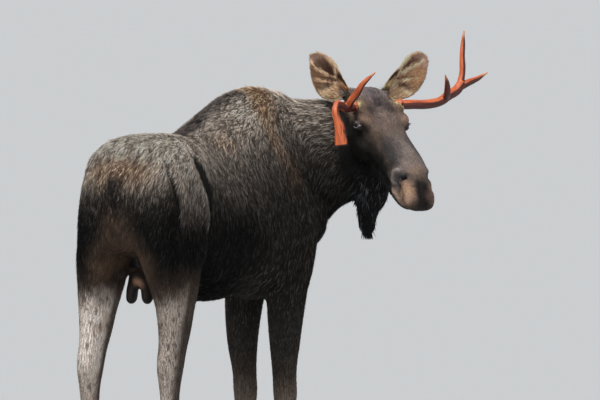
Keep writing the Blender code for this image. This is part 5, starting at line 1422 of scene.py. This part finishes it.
def shades_of(ground, pale, share, rings, pick=None, contrast=1.0, group=None):
    """Colours down each lock: darker at the root, its own tone at the tip, pale for a share of them; locks of a group go together."""
    k = len(ground)
    if group is None:
        group = np.arange(k)
    many = int(group.max()) + 1 if k else 0
    lean = rng.normal(0.0, 0.40, many)[group]
    is_pale = rng.random(k) < np.clip(share * (1 + 1.7 * lean), 0, 0.97) if pick is None else pick
    tone = (rng.normal(1.0, 0.26 * contrast, many)[group] + rng.normal(0.0, 0.14 * contrast, k)).clip(0.40, 1.8)[:, None]
    tint = (rng.normal(0.0, 0.030, many)[group] + rng.normal(0.0, 0.020, k))[:, None] * np.array([[1.0, 0.1, -1.0]])
    end = np.where(is_pale[:, None], pale, ground) * tone * (1 + tint)
    start = np.where(is_pale[:, None], 0.5 * (ground + pale), ground) * 0.62
    out = []
    for i in range(rings + 1):
        t = (i / rings) ** 0.8
        out.append(start + (end - start) * t)
    return out


UNWRAPS = {}


def unwrap_round(p, centre, axis, start, long, ahead, half=False):
    """A place on a cylinder's unwrap: along the axis, and round it from the far side of ahead."""
    axis = unit(np.array(axis, float))
    ahead = unit(np.array(ahead, float) - (np.array(ahead, float) @ axis) * axis)
    side = np.cross(axis, ahead)
    q = p - np.array(centre)
    turn = np.arctan2(q @ side, q @ ahead) / (2 * math.pi) + 0.5
    return np.stack([(q @ axis - start) / long, turn], 1)


def gathered(p, d, size, seed, stretch):
    """Neighbouring locks in groups, each about size across and longer by stretch along the lie: every lock's group, and the
    middle and the way of that group."""
    block = np.floor(p / 0.080).astype(np.int64)
    key = ((block[:, 0] & 0xFFFFF) << 40) | ((block[:, 1] & 0xFFFFF) << 20) | (block[:, 2] & 0xFFFFF)
    _, which = np.unique(key, return_inverse=True)
    which = which.ravel()
    run = unit(np.stack([np.bincount(which, d[:, i]) for i in range(3)], 1) + 1e-9)[which]
    local = p - (block + 0.5) * 0.080
    local = local - run * ((local * run).sum(1) * (1 - 1 / stretch))[:, None]
    shift = np.stack([noise(p, size * 2.2, seed + i) for i in range(3)], 1)
    cell = np.floor((local + 0.40 * size * shift) / size).astype(np.int64) + 64
    key = (which.astype(np.int64) << 24) | (cell[:, 0] << 16) | (cell[:, 1] << 8) | cell[:, 2]
    _, group = np.unique(key, return_inverse=True)
    group = group.ravel()
    count = np.bincount(group)[:, None]
    middle = np.stack([np.bincount(group, p[:, i]) for i in range(3)], 1) / count
    way = unit(np.stack([np.bincount(group, d[:, i]) for i in range(3)], 1) / count)
    return group, middle[group], way[group]


def coat(name, chosen, spacing, slot, uv_of, rings=1, stray=0.03, material=None, patch=0.0030, lift=1.0, wide=1.0, clump=0.009, pull=0.75,
         wave=0.10, contrast=1.0, stretch=3.2):
    """One piece of the coat over the chosen triangles."""
    p, n = scatter(chosen, spacing)
    z = zones(p)
    d = lie(p, n, z)
    k = len(p)
    group, middle, way = gathered(p, d, clump, 50, stretch)
    d = unit(d * 0.4 + way * 0.6)
    d = unit(d - (d * n).sum(1)[:, None] * n)
    side = unit(np.cross(n, d))
    d = unit(d + side * rng.normal(0, wave, (k, 1)) + side * (rng.normal(0, wave, int(group.max()) + 1)[group])[:, None])
    side = unit(np.cross(n, d))
    long = hair_length(p, n, z) * rng.uniform(0.72, 1.28, k)
    if name == "coat_bell":
        long = np.minimum(long, np.maximum(p[:, 2] - 1.176, 0.006))
    deep = coat_depth(p, z)
    wild = np.where(rng.random(k) < stray, rng.uniform(1.2, 1.7, k), 1.0)
    rise = deep * lift * rng.uniform(0.45, 1.0, k) * wild
    inward = ((middle - p) * side).sum(1) * pull
    bend = side * (long * rng.normal(0, 0.06, k))[:, None]
    root = p - n * np.minimum(0.0015, deep * 0.4)[:, None]
    centres = [root]
    for i in range(1, rings + 1):
        t = i / rings
        q = p + d * (long * t)[:, None] + bend * (4 * t * (1 - t)) + side * (inward * t)[:, None]
        w, m = onto_skin(q)
        good = ((m * n).sum(1) > 0.35) & (np.linalg.norm(w - q, axis=1) < 0.45 * long + 0.004)
        q = np.where(good[:, None], w, q)
        up = np.where(good[:, None], m, n)
        q = q + up * (rise * (1 - (1 - t) ** 2) * (0.9 if t < 1 else 1.0))[:, None]
        centres.append(q)
    tip = centres.pop()
    width = np.clip(long * 0.13, 0.0017, 0.0048) * rng.uniform(0.75, 1.25, k) * wide
    widths = [width] if rings == 1 else [width * 0.85] + [width] * (rings - 1)
    ground, pale, share = markings(p, z)
    colours = shades_of(ground, pale, share, rings, contrast=contrast, group=group)
    me, count = tuft_mesh(name, centres, tip, n, widths, [w * 0.30 for w in widths], colours, uv_of(p), patch)
    placed(name, me, material or COAT, slot=slot)
    print(name, k, "tufts", count, "triangles", "over" if count >= 200000 else "")
    return count


COAT = coat_material("moose_coat")
LONG = coat_material("moose_long_hair")
centre = body_points[body_tris].mean(1)
facing = unit(np.cross(body_points[body_tris[:, 1]] - body_points[body_tris[:, 0]], body_points[body_tris[:, 2]] - body_points[body_tris[:, 0]]))
zone = zones(centre)
is_head = zone["head"] > 0.5
is_bell = (zone["bell"] > 0.45) & ~is_head
is_tail = (zone["tail"] > 0.5)
is_sack = zone["sack"] > 0.5
special = is_head | is_bell | is_tail | is_sack
is_fore = (centre[:, 0] > 0.25) & (centre[:, 2] < 0.98) & ~special
is_hind = (centre[:, 0] < -0.28) & (centre[:, 2] < 1.15) & ~special
is_neck = (zone["neck"] > 0.5) & ~special & ~is_fore
is_trunk = ~(special | is_fore | is_hind | is_neck)
is_belly = is_trunk & (facing[:, 2] < -0.45) & (centre[:, 2] < 1.10) & (centre[:, 0] > -0.35)
is_trunk = is_trunk & ~is_belly
left = centre[:, 1] > 0


def trunk_map(x0, x1):
    def uv(p):
        turn = np.arctan2(np.abs(p[:, 1]), p[:, 2] - 1.28) / math.pi
        return np.stack([(p[:, 0] - x0) / (x1 - x0), turn], 1)
    return uv


def whole_map(x0, x1):
    def uv(p):
        turn = np.arctan2(p[:, 1], -(p[:, 2] - 1.28)) / (2 * math.pi) + 0.5
        return np.stack([(p[:, 0] - x0) / (x1 - x0), turn], 1)
    return uv


def leg_map(top, *feet):
    def uv(p):
        out = np.zeros((len(p), 2))
        for i, foot in enumerate(feet):
            on = (p[:, 1] > 0) == foot.endswith("left")
            c = np.array([leg_centre(foot, float(h)) for h in np.linspace(0.05, top, 24)])
            cx, cy = (np.interp(p[on, 2], np.linspace(0.05, top, 24), c[:, j]) for j in (0, 1))
            turn = np.arctan2(p[on, 1] - cy, p[on, 0] - cx) / (2 * math.pi) + 0.5
            out[on] = np.stack([(i + 0.01 + 0.98 * turn) / len(feet), p[on, 2] / top], 1)
        return out
    return uv


def head_map(p):
    h = to_head(p)
    turn = np.arctan2(h[:, 1], h[:, 2] + 0.045) / (2 * math.pi) + 0.5
    bend = 0.10 * smooth01(0.56, 0.66, h[:, 0]) * np.clip(1 - np.hypot(h[:, 1], h[:, 2] + 0.03) / 0.08, 0, 1)
    return np.stack([(h[:, 0] + 0.12 + bend) / 0.90, turn], 1)


def neck_map(p):
    return unwrap_round(p, (0.62, -0.02, 1.42), (0.85, -0.38, 0.22), -0.25, 0.75, (0, 0, -1))


def bell_map(p):
    turn = np.arctan2(p[:, 1] + 0.325, p[:, 0] - 0.853) / (2 * math.pi) + 0.5
    return np.stack([turn, (p[:, 2] - 1.10) / 0.50], 1)


def tail_map(p):
    turn = np.arctan2(p[:, 1], p[:, 0] + 0.715) / (2 * math.pi) + 0.5
    return np.stack([turn, (p[:, 2] - 1.30) / 0.26], 1)


even = np.ones(len(centre))
total = 0
gap = 0.0046
for side_name, mine in (("right", ~left), ("left", left)):
    total += coat("coat_croup_" + side_name, is_trunk & (centre[:, 0] < -0.12) & mine, gap * even, "body_coat", trunk_map(-0.80, -0.10), clump=0.0080, wave=0.13, stretch=2.6)
    total += coat("coat_barrel_" + side_name, is_trunk & (centre[:, 0] >= -0.12) & mine, gap * even, "body_coat", trunk_map(-0.14, 0.86), wave=0.08, clump=0.0085, stretch=3.6)
    total += coat("coat_neck_" + side_name, is_neck & mine, gap * even, "body_coat", neck_map, clump=0.0095, pull=0.75, wave=0.08, stretch=4.0, contrast=0.75)
    thigh = 0.0040 + 0.0008 * smooth01(0.80, 1.05, centre[:, 2]) - 0.0004 * smooth01(0.45, 0.30, centre[:, 2])
    total += coat("coat_thigh_" + side_name, is_hind & mine, thigh, "leg_coat", leg_map(1.20, "hind_" + side_name), clump=0.008, contrast=0.7)
    total += coat("coat_foreleg_" + side_name, is_fore & mine, 0.0042 * even, "leg_coat", leg_map(1.02, "front_" + side_name), clump=0.008)
    fine = 0.0030 + 0.0006 * smooth01(0.35, 0.10, zone["h"][:, 0]) + 0.0006 * smooth01(-0.04, -0.10, zone["h"][:, 2])
    total += coat("coat_face_" + side_name, is_head & (zone["h"][:, 1] * (1 if side_name == "left" else -1) > 0), fine, "face_coat", head_map, stray=0.02,
                  clump=0.0062, pull=0.6, wave=0.20, contrast=1.1, wide=1.25, stretch=1.8)
total += coat("coat_belly", is_belly, 0.0062 * even, "long_hair", whole_map(-0.40, 0.80), rings=2, material=LONG, lift=1.25, clump=0.020, contrast=0.5)
total += coat("coat_bell", is_bell, 0.0046 * even, "long_hair", bell_map, rings=2, material=LONG, lift=1.1, patch=0.006, clump=0.014)
total += coat("coat_tail", is_tail, 0.0046 * even, "long_hair", tail_map, rings=2, material=LONG, patch=0.006)

# ---------------------------------------------------------------- ears
def ear_marks(s, t, inside, side):
    """Ground and pale colours of an ear: s from base to tip, t from the rim nearest the crown to the outer one."""
    k = len(s)
    wob = 0.035 * np.sin(s * 23 + t * 5) + 0.02 * np.sin(s * 51 - t * 9) + rng.normal(0, 0.05, k)
    a = t + wob

    def along(ss, tt, wide, lo, hi, fade=0.08):
        return np.exp(-(((a - np.interp(s, ss, tt)) / wide) ** 2)) * smooth01(lo, lo + fade, s) * smooth01(hi, hi - fade, s)

    right = side == "right"
    inner = np.tile(srgb(108, 86, 72), (k, 1))
    fold = along([0.0, 1.0], [-0.48, -0.48], 0.26, 0.20, 0.72, 0.14)
    inner = mixed(inner, srgb(66, 47, 38)[None], fold * 0.95)
    beyond = smooth01(0.0, 0.30, a - np.interp(s, [0.38, 0.60, 0.85], [-0.32, 0.0, 0.45] if right else [-0.46, -0.30, 0.10]))
    inner = mixed(inner, (srgb(132, 106, 84) if right else srgb(158, 130, 103))[None], beyond * smooth01(0.30, 0.44, s) * smooth01(0.95, 0.80, s) * 0.85)
    wedge = along([0.33, 0.52], [-0.20, 0.26] if right else [-0.16, 0.10], 0.12, 0.32, 0.56)
    inner = mixed(inner, srgb(84, 64, 52)[None], wedge * 0.80)
    inner = mixed(inner, srgb(154, 130, 118)[None], smooth01(0.72, 0.86, s) * 0.9)
    inner = mixed(inner, srgb(164, 138, 118)[None], smooth01(-0.66, -0.86, a) * smooth01(0.44, 0.56, s) * 0.85)
    inner = mixed(inner, srgb(120, 103, 94)[None], smooth01(0.74, 0.86, a) * smooth01(0.40, 0.52, s) * 0.8)
    inner = mixed(inner, srgb(188, 170, 146)[None], smooth01(0.40, 0.26, s) * smooth01(0.10, 0.50, a) * 0.85)
    inner = mixed(inner, srgb(176, 152, 126)[None], smooth01(0.26, 0.14, s) * 0.80)
    inner = mixed(inner, srgb(36, 27, 23)[None], np.exp(-(((s - 0.305 - 0.10 * (a - 0.3)) / 0.026) ** 2) - ((a - 0.30) / 0.20) ** 2) * 0.95)
    streak = along([0.385, 0.59, 0.80, 0.90] if right else [0.46, 0.57, 0.73, 0.89], [-0.32, 0.00, 0.51, 0.66] if right else [-0.44, -0.36, -0.10, 0.16],
                   0.095 if right else 0.125, 0.37, 0.93)
    streak = np.maximum(streak, 0.9 * along([0.325, 0.48, 0.555] if right else [0.30, 0.354, 0.453, 0.54], [0.02, 0.43, 0.77] if right else [-0.10, 0.0, 0.15, 0.45],
                                            0.075, 0.30, 0.60))
    streak = np.maximum(streak, 0.8 * along([0.14, 0.21, 0.32], [0.20, 0.56, 0.86], 0.080, 0.12, 0.36))
    streak = np.maximum(streak, 0.95 * along([0.02, 0.12, 0.24, 0.34, 0.43, 0.54, 0.72], [0.10, -0.02, -0.24, -0.60, -0.84, -0.94, -0.97], 0.12, 0.02, 0.80))
    streak = np.maximum(streak, 0.85 * smooth01(0.93, 0.985, np.abs(t)) * smooth01(0.30, 0.55, s))
    inner = mixed(inner, srgb(229, 197, 167)[None], streak)
    inner = mixed(inner, srgb(54, 44, 36)[None], smooth01(-0.74, -0.86, a) * smooth01(0.42, 0.32, s) * smooth01(0.10, 0.18, s) * 0.9)
    base = smooth01(0.12, 0.03, s) * smooth01(-0.2, -0.6, a)
    inner = mixed(inner, srgb(186, 130, 92)[None] if right else srgb(206, 182, 140)[None], base * 0.85)
    outer = mixed(srgb(98, 84, 72)[None], srgb(62, 52, 46)[None], smooth01(0.4, 0.9, s))
    outer = mixed(outer, srgb(170, 150, 126)[None], smooth01(0.84, 0.98, np.abs(t)) * 0.8)
    outer = mixed(outer, srgb(110, 98, 88)[None], smooth01(0.3, 0.0, s))
    # painted light: the inside of the left ear is painted brighter than the right one's
    inner = np.minimum(0.30 * (inner / 0.30) ** 1.22 * (1.45 if side == "left" else 1.0), 0.80)
    outer = mixed(outer, srgb(196, 174, 146)[None], np.maximum(smooth01(0.90, 0.97, np.abs(t)), smooth01(0.94, 0.985, s)) * 0.9)
    ground = np.where(inside[:, None] > 0.5, inner, outer)
    return ground, ground * np.minimum(1.40, 0.72 / ground.max(1))[:, None], streak


def ear_tufts(side, g, n, half):
    """Hair of one ear: short on the back, a fringe on the rim, long pale locks inside."""
    rows, across = g.shape[:2]
    out = []

    def at(s, t):
        a, b = s * (rows - 1), (t + 1) / 2 * (across - 1)
        i, j = np.clip(a.astype(int), 0, rows - 2), np.clip(b.astype(int), 0, across - 2)
        fa, fb = (a - i)[:, None], (b - j)[:, None]
        def mix(w):
            return (w[i, j] * (1 - fa) * (1 - fb) + w[i + 1, j] * fa * (1 - fb) + w[i, j + 1] * (1 - fa) * fb + w[i + 1, j + 1] * fa * fb)
        p, m = mix(g), unit(mix(n))
        up = unit(g[np.minimum(i + 1, rows - 1), j] - g[i, j])
        wide = unit(g[i, np.minimum(j + 1, across - 1)] - g[i, j])
        return p, m, up, wide

    def add(count, s, t, face, go_up, go_out, length, lift, width, paleness, rings=2, spread=0.12):
        p, m, up, wide = at(s, t)
        m = m * face
        sign = np.sign(t)[:, None] if go_out < 0.3 or face < 0 else 1.0
        d = unit(up * go_up + wide * sign * go_out + spread * rng.normal(0, 1, (count, 3)))
        d = unit(d - (d * m).sum(1)[:, None] * m)
        long = length * rng.uniform(0.7, 1.3, count)
        ground, pale, streak = ear_marks(s, t, np.full(count, 1.0 if face > 0 else 0.0), side)
        base = p + m * 0.0008
        mid = base + d * (long * 0.5)[:, None] + m * (lift * long * 0.7)[:, None]
        tip = base + d * long[:, None] + m * (lift * long)[:, None]
        w = np.full(count, width) * rng.uniform(0.7, 1.3, count)
        share = np.clip(paleness + 0.3 * streak * (face > 0), 0, 0.95)
        colours = shades_of(ground, pale, share, rings, contrast=0.75)
        uv = np.stack([((t + 1) / 2 * 0.46 + (0.02 if face > 0 else 0.52)), s], 1)
        out.append((([p, mid] if rings == 2 else [p]), tip, m, [w * 0.8, w] if rings == 2 else [w], colours, uv))

    def rand(count, lo, hi):
        return rng.uniform(lo, hi, count)

    c = 2600
    add(c, rand(c, 0.02, 0.97), rand(c, -0.97, 0.97), -1.0, 1.0, 0.15, 0.0140, 0.16, 0.0024, 0.10)
    c = 4200
    add(c, rand(c, 0.02, 0.96), rand(c, -0.95, 0.93), 1.0, 1.0, 0.42, 0.0180, 0.10, 0.0020, 0.10)
    c = 500
    add(c, rand(c, 0.25, 0.80), rand(c, -0.55, 0.85), 1.0, 1.0, 0.46, 0.0300, 0.12, 0.0020, 0.45, spread=0.06)
    c = 420
    add(c, rand(c, 0.00, 0.20), rand(c, -0.95, 0.9), 1.0, 1.0, 0.10, 0.0300, 0.28, 0.0026, 0.60)
    c = 1000
    t = rng.choice([-1.0, 1.0], c) * rand(c, 0.955, 0.995)
    add(c, rand(c, 0.03, 0.985), t, rng.choice([-1.0, 1.0]), 1.0, 0.25, 0.0090, 0.12, 0.0019, 0.60)
    c = 160
    add(c, rand(c, 0.965, 0.995), rand(c, -0.8, 0.8), -1.0, 1.0, 0.2, 0.0090, 0.1, 0.0020, 0.6)
    return out


def join_tufts(name, groups, slot, material, patch=0.0030):
    """Several groups of two-ring locks as one piece."""
    rings = [np.concatenate([q[0][i] for q in groups]) for i in range(2)]
    tip = np.concatenate([q[1] for q in groups])
    up = np.concatenate([q[2] for q in groups])
    widths = [np.concatenate([q[3][i] for q in groups]) for i in range(2)]
    colours = [np.concatenate([q[4][i] for q in groups]) for i in range(3)]
    uv = np.concatenate([q[5] for q in groups])
    me, count = tuft_mesh(name, rings, tip, up, widths, [w * 0.34 for w in widths], colours, uv, patch)
    placed(name, me, material, slot=slot)
    print(name, len(tip), "tufts", count, "triangles")
    return count


ears = {}
for side in ("left", "right"):
    pts, faces, s, t, inside, g, n = ear_leaf(side)
    ears[side] = (pts, faces, s, t, inside)
    total += join_tufts("coat_ear_" + side, ear_tufts(side, g, n, 1), "ear_coat", COAT, 0.004)


# ---------------------------------------------------------------- the skin as one object, ears included
def add_ears(mesh, colour, bare, flow):
    """The skin with both ears, and its colours."""
    v, f = coords(mesh), [tuple(q.vertices) for q in mesh.polygons]
    at = len(v)
    vs, colours, bares, flows = [v], [colour], [bare], [flow]
    for side in ("left", "right"):
        pts, faces, s, t, inside = ears[side]
        f += [tuple(i + at for i in q) for q in faces]
        at += len(pts)
        vs.append(pts)
        ground, _, _ = ear_marks(s, t, inside, side)
        colours.append(ground * 0.75)
        bares.append(np.zeros(len(pts)))
        flows.append(np.stack([t * 40, s * 9, inside], 1))
    m = bpy.data.meshes.new("skin")
    m.from_pydata(np.concatenate(vs).tolist(), [], f)
    m.update()
    colour_layer(m, "coat", np.concatenate(colours))
    value_layer(m, "bare", np.concatenate(bares))
    vector_layer(m, "flow", np.concatenate(flows))
    return m


LEGS = [kind + "_" + side + "_" + end for kind in ("foreleg", "hindleg") for side in ("left", "right") for end in ("upper", "lower")]
skin = placed("skin", add_ears(skin_mesh, skin_colour, skin_bare, skin_flow), skin_material(),
              "head", "neck", "trunk", "tail", "bell", "scrotum", "ear_left", "ear_right", *LEGS, slot="body_coat")

# ---------------------------------------------------------------- eyes and lashes
EYE = eye_material()
for side, name in ((1, "left"), (-1, "right")):
    v, f = ball((0, 0, 0), (1, 1, 1), None, None, 64)
    bulge = 1 + 0.045 * smooth01(0.74, 0.96, v[:, 2])
    local = v.copy()
    v = v * bulge[:, None] * EYE_R * np.where(local[:, 2:3] > 0.74, 1.0, 1.0)
    basis = np.stack([EYE_AHEAD, EYE_UP, EYE_OUT])
    q = np.array(EYE_AT) + v @ basis
    q[:, 1] *= side
    m = mesh_of("eye_" + name, [(from_head(q), f)])
    vector_layer(m, "eye", local)
    placed("eyeball_" + name, m, EYE, "eye_" + name, slot="eye")

lash = []
for side in (1, -1):
    k = 34
    turn = np.linspace(0.12, 0.88, k) * math.pi
    e = np.stack([SLIT[0] * 1.04 * np.cos(turn), SLIT[1] * 1.05 * np.sin(turn) * (1 - 0.25 * np.cos(turn) ** 2), np.zeros(k)], 1)
    e[:, 2] = np.sqrt(np.maximum(LID_R**2 - e[:, 0] ** 2 - e[:, 1] ** 2, 1e-6)) - 0.0005
    q = np.array(EYE_AT) + e[:, :1] * EYE_AHEAD + e[:, 1:2] * EYE_UP + e[:, 2:] * EYE_OUT
    d = unit(EYE_OUT * 0.9 + EYE_UP * 0.10 + EYE_AHEAD * (e[:, :1] / SLIT[0]) * 0.5 + 0.08 * rng.normal(0, 1, (k, 3)))
    long = rng.uniform(0.009, 0.014, k)[:, None]
    mid, tip = q + d * long * 0.5 - EYE_UP * long * 0.05, q + d * long + EYE_UP * long * 0.22
    for w in (q, mid, tip):
        w[:, 1] *= side
    up = np.tile(EYE_UP * np.array([1, side, 1]), (k, 1)) @ TO_HEAD.T
    width = np.full(k, 0.0011)
    colour = [np.tile(srgb(14, 12, 12), (k, 1))] * 3
    uv = np.stack([np.linspace(0.05, 0.95, k), np.full(k, 0.25 if side > 0 else 0.75)], 1)
    lash.append(([from_head(q), from_head(mid)], from_head(tip), up, [width, width * 0.8], colour, uv))
total += join_tufts("lashes", lash, "face_coat", LONG, 0.012)


# ---------------------------------------------------------------- antlers
def antler_mesh(side):
    tubes = [[np.array(from_head(np.array(r[:3]))) for r in curve_through(rows, 24)] for rows in ANTLERS[side].values()]
    pieces = antler_pieces(side)
    # the burr: a ring of beads round the foot of the beam
    beam = np.array([r[:3] for r in ANTLERS[side]["beam"]])
    base, way = beam[0] + 0.25 * (beam[1] - beam[0]), unit(beam[1] - beam[0])
    u = unit(np.cross(way, (0.3, 0.1, 0.95)))
    w = np.cross(way, u)
    for i in range(15):
        a = 2 * math.pi * i / 15
        r = 0.0195 + 0.0012 * math.sin(5 * a + 1)
        pieces.append(ball(base + (u * math.cos(a) + w * math.sin(a)) * r + way * 0.0015 * math.cos(3 * a), (0.0052, 0.0052, 0.0052), None, HEAD, 12))
    m = evaluated(mesh_of("antler_" + side, pieces), ("REMESH", dict(mode="VOXEL", voxel_size=0.0023)))
    relax(m, 4, 0.5)
    p, n = coords(m), normals_of(m)
    best = np.full(len(p), np.inf)
    around, along, ahead, end = (np.zeros((len(p), 3)), np.zeros(len(p)), np.zeros((len(p), 3)), np.zeros(len(p)))
    for i, line in enumerate(tubes):
        d, t, way = near_line(p, line)
        far = (d * d).sum(1)
        length = np.linalg.norm(np.diff(np.array(line), axis=0), axis=1).sum()
        hit = far < best
        best[hit] = far[hit]
        around[hit], along[hit], ahead[hit] = d[hit], t[hit] * length, way[hit]
        end[hit] = (1 - t[hit]) * length if i else 1.0
    groove = around + ahead * (along * 0.10)[:, None] + np.array([0.3, 0.2, 0.1])
    lift = 0.00075 * noise(groove, 0.0052, 40) + 0.0004 * noise(groove, 0.0026, 41) + 0.0008 * noise(p, 0.030, 42)
    lift = lift * smooth01(0.0, 0.02, end)
    set_coords(m, p + n * lift[:, None])
    # painted shade: the left antler is darkened on its undersides, the right one on the side turned from the light and
    # below; both are darker in the grooves, and the drop tine's end is dark
    if side == "left":
        under = smooth01(-0.30, 0.16, n @ np.array([0.24, -0.44, -0.85])) + 0.25 * np.clip(-lift / 0.0008, 0, 1)
    else:
        away = n @ np.array([0.47, -0.88, 0.0])
        hangs = smooth01(from_head(np.array([0.12, -0.2, 0.050]))[2], from_head(np.array([0.12, -0.2, 0.020]))[2], p[:, 2])
        under = smooth01(0.05, 0.75, away - 0.35 * n[:, 2]) * (0.95 - 0.50 * hangs) + 0.25 * np.clip(-lift / 0.0008, 0, 1)
        under = under + 0.9 * smooth01(0.007, 0.002, end) * hangs
    value_layer(m, "stain", np.clip(under + 0.15, 0, 1))
    value_layer(m, "tip", smooth01(0.075, 0.0, end) * (1.0 if side == "left" else 1 - hangs))
    vector_layer(m, "groove", groove * 190.0)
    print("antler", side, len(p))
    return m


ANTLER = antler_material()
placed("antler_left", antler_mesh("left"), ANTLER, *["antler_left_" + k for k in ("beam", "brow_tine", "outer_tine", "upper_tine")], slot="antler")
placed("antler_right", antler_mesh("right"), ANTLER, *["antler_right_" + k for k in ("beam", "brow_tine", "drop_tine")], slot="antler")

# ---------------------------------------------------------------- hooves and dewclaws
CLAW = [
    (0.0880, 0.004, 0.0470, 0.046, 0.044, 1.9, 2.2),
    (0.0450, 0.013, 0.0500, 0.058, 0.051, 1.6, 2.2),
    (0.0060, 0.023, 0.0520, 0.072, 0.056, 1.4, 2.2),
    (0.0000, 0.023, 0.0505, 0.070, 0.055, 1.4, 2.2),
]
CLEFT = 0.0016
DEWCLAW = [(0.0, 0.0, 0.017, 0.013), (0.012, -0.004, 0.0165, 0.013), (0.026, -0.007, 0.0130, 0.010), (0.036, -0.008, 0.0060, 0.005)]


def claw(foot, outer):
    """One claw: a half hoof with growth rings, a rounded edge and a flat sole."""
    x0, y0 = leg_centre(foot, HOOF_H)
    side = (1 if foot.endswith("left") else -1) * (1 if outer else -1)
    k = 56
    table = np.array(CLAW)[::-1]
    heights = np.concatenate([[0.0, 0.0006, 0.0022], np.linspace(0.006, 0.080, 34), [0.0845, 0.0868, 0.0878]])
    inset = np.concatenate([[0.0022, 0.0009, 0.0001], np.zeros(34), [0.0004, 0.0016, 0.0042]])
    pts, faces = [], []
    for z, s in zip(heights, inset):
        ahead, w, f, b, nf, nb = (np.interp(z, table[:, 0], table[:, j]) for j in range(1, 7))
        s = s + 0.0004 + 0.00035 * math.sin(z * 2 * math.pi / 0.0085) + 0.00025 * math.sin(z * 2 * math.pi / 0.0052 + 1.0)
        y, x = ring(w * 0.5 - s, f - s, b - s, nf, nb, k)
        y = np.maximum(y + w * 0.42, CLEFT + max(s - 0.0008, 0))
        pts.append(np.stack([x0 + ahead + x, y0 + side * y, np.full(k, z)], 1))
    n = len(heights)
    for i in range(n - 1):
        for j in range(k):
            a, b = i * k + j, i * k + (j + 1) % k
            faces.append((a, b, b + k, a + k))
    v = np.concatenate(pts + [pts[0].mean(0)[None], pts[-1].mean(0)[None] + (0, 0, 0.0001)])
    for j in range(k):
        faces.append((n * k, (j + 1) % k, j))
        faces.append((n * k + 1, (n - 1) * k + j, (n - 1) * k + (j + 1) % k))
    return v, faces


def dewclaw(foot, outer):
    x0, y0 = leg_centre(foot, 0.168)
    side = (1 if foot.endswith("left") else -1) * (1 if outer else -1)
    rows = [(x0 - 0.050 - 0.55 * t, y0 + side * 0.024, 0.158 - 0.85 * t + dz, w, h, h, 2.0, 2.0) for t, dz, w, h in DEWCLAW]
    return loft(rows, up=(1, 0, 0), n=18, k=24)


HORN = horn_material()
for foot in STEP:
    for outer in (True, False):
        end = "_outer" if outer else "_inner"
        placed("claw_" + foot + end, mesh_of("claw", [claw(foot, outer)]), HORN, "hoof_" + foot + end, slot="horn")
        placed("dew_" + foot + end, mesh_of("dew", [dewclaw(foot, outer)]), HORN, "dewclaw_" + foot + end, slot="horn")

# ---------------------------------------------------------------- floor, light and camera
PHI = math.radians(28.0)
AHEAD = np.array([math.cos(PHI), math.sin(PHI), 0.0])
RIGHT = np.array([math.sin(PHI), -math.cos(PHI), 0.0])
SUNS = (("key", unit(-0.50 * AHEAD - 0.32 * RIGHT + np.array([0, 0, 1.0])), 3.0, 25, (1.0, 0.98, 0.95)),
        ("fill", unit(-1.0 * AHEAD + 0.2 * RIGHT + np.array([0, 0, 0.7])), 0.55, 60, (0.94, 0.97, 1.0)))
SKY = (0.60, 0.615, 0.63)
# what the suns alone give a white floor: the floor's tone is set so that it meets the sky without a line
SUNLIT = [sum(strength * way[2] * colour[i] / math.pi for _, way, strength, _, colour in SUNS) for i in range(3)]
floor = bpy.data.meshes.new("floor")
floor.from_pydata([(-4000, -4000, -0.0006), (4000, -4000, -0.0006), (4000, 4000, -0.0006), (-4000, 4000, -0.0006)], [], [(0, 1, 2, 3)])
floor_object = bpy.data.objects.new("floor", floor)
bpy.context.scene.collection.objects.link(floor_object)
pale_floor = bpy.data.materials.new("floor")
pale_floor.use_nodes = True
pale_floor.node_tree.nodes["Principled BSDF"].inputs["Base Color"].default_value = tuple(s / (s + l) for s, l in zip(SKY, SUNLIT)) + (1,)
pale_floor.node_tree.nodes["Principled BSDF"].inputs["Roughness"].default_value = 1.0
pale_floor.node_tree.nodes["Principled BSDF"].inputs["Specular IOR Level"].default_value = 0.0
floor.materials.append(pale_floor)

world = bpy.data.worlds.new("studio")
world.use_nodes = True
world.node_tree.nodes["Background"].inputs["Color"].default_value = SKY + (1,)
world.node_tree.nodes["Background"].inputs["Strength"].default_value = 1.0
bpy.context.scene.world = world
scene = bpy.context.scene
scene.view_settings.view_transform = "Standard"


def light(name, direction, strength, size, colour=(1, 1, 1)):
    """A broad even light from a direction."""
    data = bpy.data.lights.new(name, "SUN")
    data.energy = strength
    data.angle = math.radians(size)
    data.color = colour
    o = bpy.data.objects.new(name, data)
    bpy.context.scene.collection.objects.link(o)
    o.rotation_euler = (-Vector(direction)).to_track_quat("-Z", "Y").to_euler()
    return o


for name, way, strength, size, colour in SUNS:
    light(name, tuple(way), strength, size, colour)

cam_data = bpy.data.cameras.new("camera")
cam = bpy.data.objects.new("camera", cam_data)
scene.collection.objects.link(cam)
cam_data.sensor_width = 36.0
cam_data.lens = 450.0
cam_data.clip_start, cam_data.clip_end = 1.0, 20000.0
cam.location = Vector(tuple(-30.0 * AHEAD + np.array([0, 0, 2.04]) + SHIFT))
aim = AHEAD + RIGHT * (100 / 7500) - np.array([0, 0, 1.0]) * (172 / 7500)
cam.rotation_mode = "QUATERNION"
cam.rotation_quaternion = Vector(tuple(aim)).to_track_quat("-Z", "Y")
scene.camera = cam

print("coat triangles", total, "skin triangles", len(triangles_of(skin.data)))
